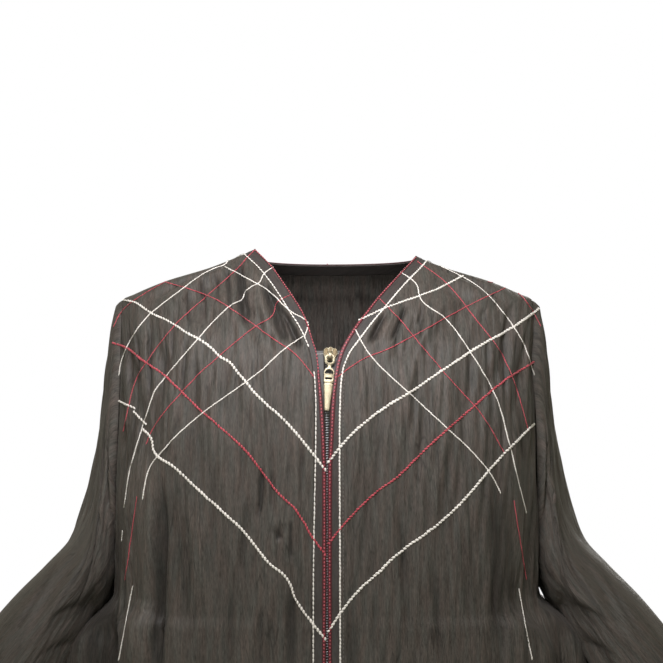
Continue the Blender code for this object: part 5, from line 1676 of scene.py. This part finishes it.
# rims round the hollows of the slider's face: x, z, half width, half height, lean; and the dark patches
# of painted shade in the hollows: x, z, half width, half depth, half height
sideRim = (0.00415, -0.0066, 0.00235, 0.0040, 0.16)
middleRim = (0.0, -0.0057, 0.00150, 0.0042)
sideShadePatches = ((0.00415, -0.0066, 0.0021, 0.00022, 0.0037), (0.0030, -0.0118, 0.0010, 0.00022, 0.0005))
middleShadePatches = ((0.0, -0.0057, 0.0013, 0.00022, 0.0040), (0.0, -0.0139, 0.0026, 0.00020, 0.0014))
# the pull's rims: how far the hole's stands out and the body's lies in, and the oval of the ring's
pullRims = {"hole": 1.12, "bodyTop": -29.0, "bodyWide": 0.86, "bodyTall": 0.985, "bodyDrop": 0.45,
            "ring": (0.0, -0.0042, 0.0042, 0.0043)}


def wireLoop(loop, y, inset=1.0):
    # a thin round rim that follows an outline, drawn in by a share
    path = [(x * mm * inset, y * mm, z * mm) for x, z in loop]
    return (*tubeAlong(path, castSizes["rimWire"], 8), 0)


def plainCast(loops, reach, edge="edge", across=False):
    return (*castPlate(loops, *castSizes[reach], castSizes[edge], across), 0)


# a flat dark patch of painted shade in a hollow of the slider's face
def hollowAt(x, z, halfX, halfY, halfZ):
    return (*beadShape((x, castSizes["plate"][0] * mm, z), (halfX, halfY, halfZ)), 1)


def sliderPiece():
    face = castSizes["plate"][0] * mm
    rim = castSizes["rim"]
    parts = [plainCast([sliderOutline], "plate"), plainCast([rearOutline], "rear"),
             plainCast([bridgeOutline], "bridge", across=True), plainCast([postOutline], "post", "postEdge")]
    x, z, halfX, halfZ, lean = sideRim
    for side in sides:
        parts.append((*tubeAlong(ovalPath(side * x, z, halfX, halfZ, face, side * lean), rim), 0))
        parts += [hollowAt(side * place, *shape) for place, *shape in sideShadePatches]
    parts.append((*tubeAlong(ovalPath(*middleRim, face), rim), 0))
    parts += [hollowAt(*shape) for shape in middleShadePatches]
    return metalPiece("slider_body", "zip_slider", sliderFrame(), parts)


def pullPiece():
    face = castSizes["pull"][0]
    rims = pullRims
    lower = [(x * rims["bodyWide"], z * rims["bodyTall"] - rims["bodyDrop"]) for x, z in pullOutline
             if z < rims["bodyTop"]]
    ring = ovalPath(*rims["ring"], face * mm)
    parts = [plainCast([pullOutline] + pullHoles, "pull"), wireLoop(pullHoles[1], face, rims["hole"]),
             wireLoop(lower, face), (*tubeAlong(ring, castSizes["rimWire"]), 0)]
    return metalPiece("pull_tab", "zip_pull", pullFrame(), parts)


print("zip")
metal, hollowMetal, toothMetal = [metalMaterial(name) for name in metals]
tapeCloth = tapeMaterial("greyZipTape", tapeLook)
zipPieces = {"slider": sliderPiece(), "pull": pullPiece()}
chainZ = np.linspace(cut["chainTopZ"] + zipSizes["chainEnd"], cut["zipEndZ"] - zipSizes["chainEnd"],
                     zipSizes["chainPoints"])
chain, chainNormals = zipMiddle(chainZ, zipSizes["toothDepth"])
zipPieces["teeth"] = repeatPiece("zip_teeth", [(chain, chainNormals)], "tooth", toothMetal, detail=(10, 6))
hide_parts("zip_chain")
tapeEnds = {}
for side, name in sides.items():
    tape, grid = zipTape(side)
    zipPieces["tape_" + name] = tape
    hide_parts("zip_tape_" + name)
    normals = np.tile(chainNormals[0], (grid.shape[1], 1))
    sew(tapeEnds, "tape_end_" + name, [(grid[1], normals)], "fine", "pale", 30)
zipPieces.update(tapeEnds)
for name, piece in zipPieces.items():
    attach(piece, "pull" if name == "pull" else "garment")
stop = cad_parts["zip_bottom_stop"]
stop.data.materials.clear()
stop.data.materials.append(metal)


def declareSheets():
    # sorts the sewn pieces by the cloth that they are sewn to; the groups are not used further
    going = {node: [] for node in cloth}
    for name, piece in {**sewn, **edges}.items():
        if name == "hem_stitches":
            going["back"].append(piece)
        elif name.endswith("back"):
            going["back_neck_band"].append(piece)
        else:
            kind = "front_band_" if name.startswith(("seam", "crimson", "edge")) else "front_"
            going[kind + name.split("_")[-1]].append(piece)


print("sheets")
declareSheets()


# lights, the world's tint, and a floor well below the hem
studio = {
    "key": {"place": (-0.05, -0.54, 0.38), "target": (0.0, -0.08, -0.03), "size": (0.40, 0.40), "power": 1.72,
            "colour": (1.0, 0.97, 0.99), "spread": 90.0},
    "fill": {"place": (-0.8, -1.9, 0.0), "target": (0.0, 0.0, -0.3), "size": (1.2, 1.6), "power": 3.8,
             "colour": (1.0, 0.985, 0.95), "spread": 180.0},
    "rear": {"place": (0.4, 2.3, 0.1), "target": (0.0, 0.1, -0.6), "size": (1.4, 1.4), "power": 34.0,
             "colour": (1.0, 0.98, 0.97), "spread": 180.0},
    "world": 0.28, "worldTint": (1.0, 0.965, 0.74, 1.0), "floorZ": -1.46, "floorSize": 3.2, "floorGlow": 0.45,
    "floor": {
        "Base Color": (0.86, 0.87, 0.91, 1.0), "Roughness": 0.9, "Emission Color": (0.97, 0.98, 1.0, 1.0),
    },
    "sensor": 36.0,
}


def areaLight(name, place, target, size, power, colour, spread):
    data = bpy.data.lights.new(name, "AREA")
    data.shape = "RECTANGLE"
    data.size, data.size_y = size
    data.energy = power
    data.color = colour
    data.spread = math.radians(spread)
    lamp = addObject(name, data)
    lamp.location = place
    lamp.rotation_euler = (Vector(target) - Vector(place)).to_track_quat("-Z", "Y").to_euler()


def addWorld():
    # a pale tint lights the garment, and the camera sees white
    world = bpy.data.worlds.new("paleStudio")
    world.use_nodes = True
    tree = world.node_tree
    tree.nodes.clear()
    lit = madeBy(tree, "ShaderNodeBackground", {"Color": studio["worldTint"], "Strength": studio["world"]})
    seen = madeBy(tree, "ShaderNodeBackground", {"Color": (1.0, 1.0, 1.0, 1.0), "Strength": 1.0})
    both = madeBy(tree, "ShaderNodeMixShader", {0: madeBy(tree, "ShaderNodeLightPath"), 1: lit, 2: seen})
    addNode(tree, "ShaderNodeOutputWorld", {"Surface": both})
    bpy.context.scene.world = world


def addFloor():
    # a floor that glows a little to the camera only
    material, tree, shader = newMaterial("paleFloor")
    glow = maths(tree, "MULTIPLY", madeBy(tree, "ShaderNodeLightPath"), studio["floorGlow"])
    setInputs(tree, shader, {**studio["floor"], "Emission Strength": glow})
    half, z = studio["floorSize"], studio["floorZ"]
    mesh = bpy.data.meshes.new("floor")
    corners = [(x * half, y * half, z) for x, y in ((-1, -1), (1, -1), (1, 1), (-1, 1))]
    mesh.from_pydata(corners, [], [(0, 1, 2, 3)])
    mesh.materials.append(material)
    addObject("floor", mesh)


def addCamera():
    data = bpy.data.cameras.new("camera")
    data.sensor_width = studio["sensor"]
    data.lens = data.sensor_width * photo["distance"] / (2 * photo["middle"] * photo["metresPerPixel"])
    camera = addObject("camera", data)
    camera.location = photo["eye"]
    camera.rotation_euler = (math.pi / 2, 0.0, 0.0)
    scene = bpy.context.scene
    scene.camera = camera
    scene.view_settings.view_transform = "Standard"
    scene.view_settings.look = "None"


print("stage")
for name in ("key", "fill", "rear"):
    areaLight(name, **studio[name])
addWorld()
addFloor()
addCamera()
bpy.context.view_layer.update()
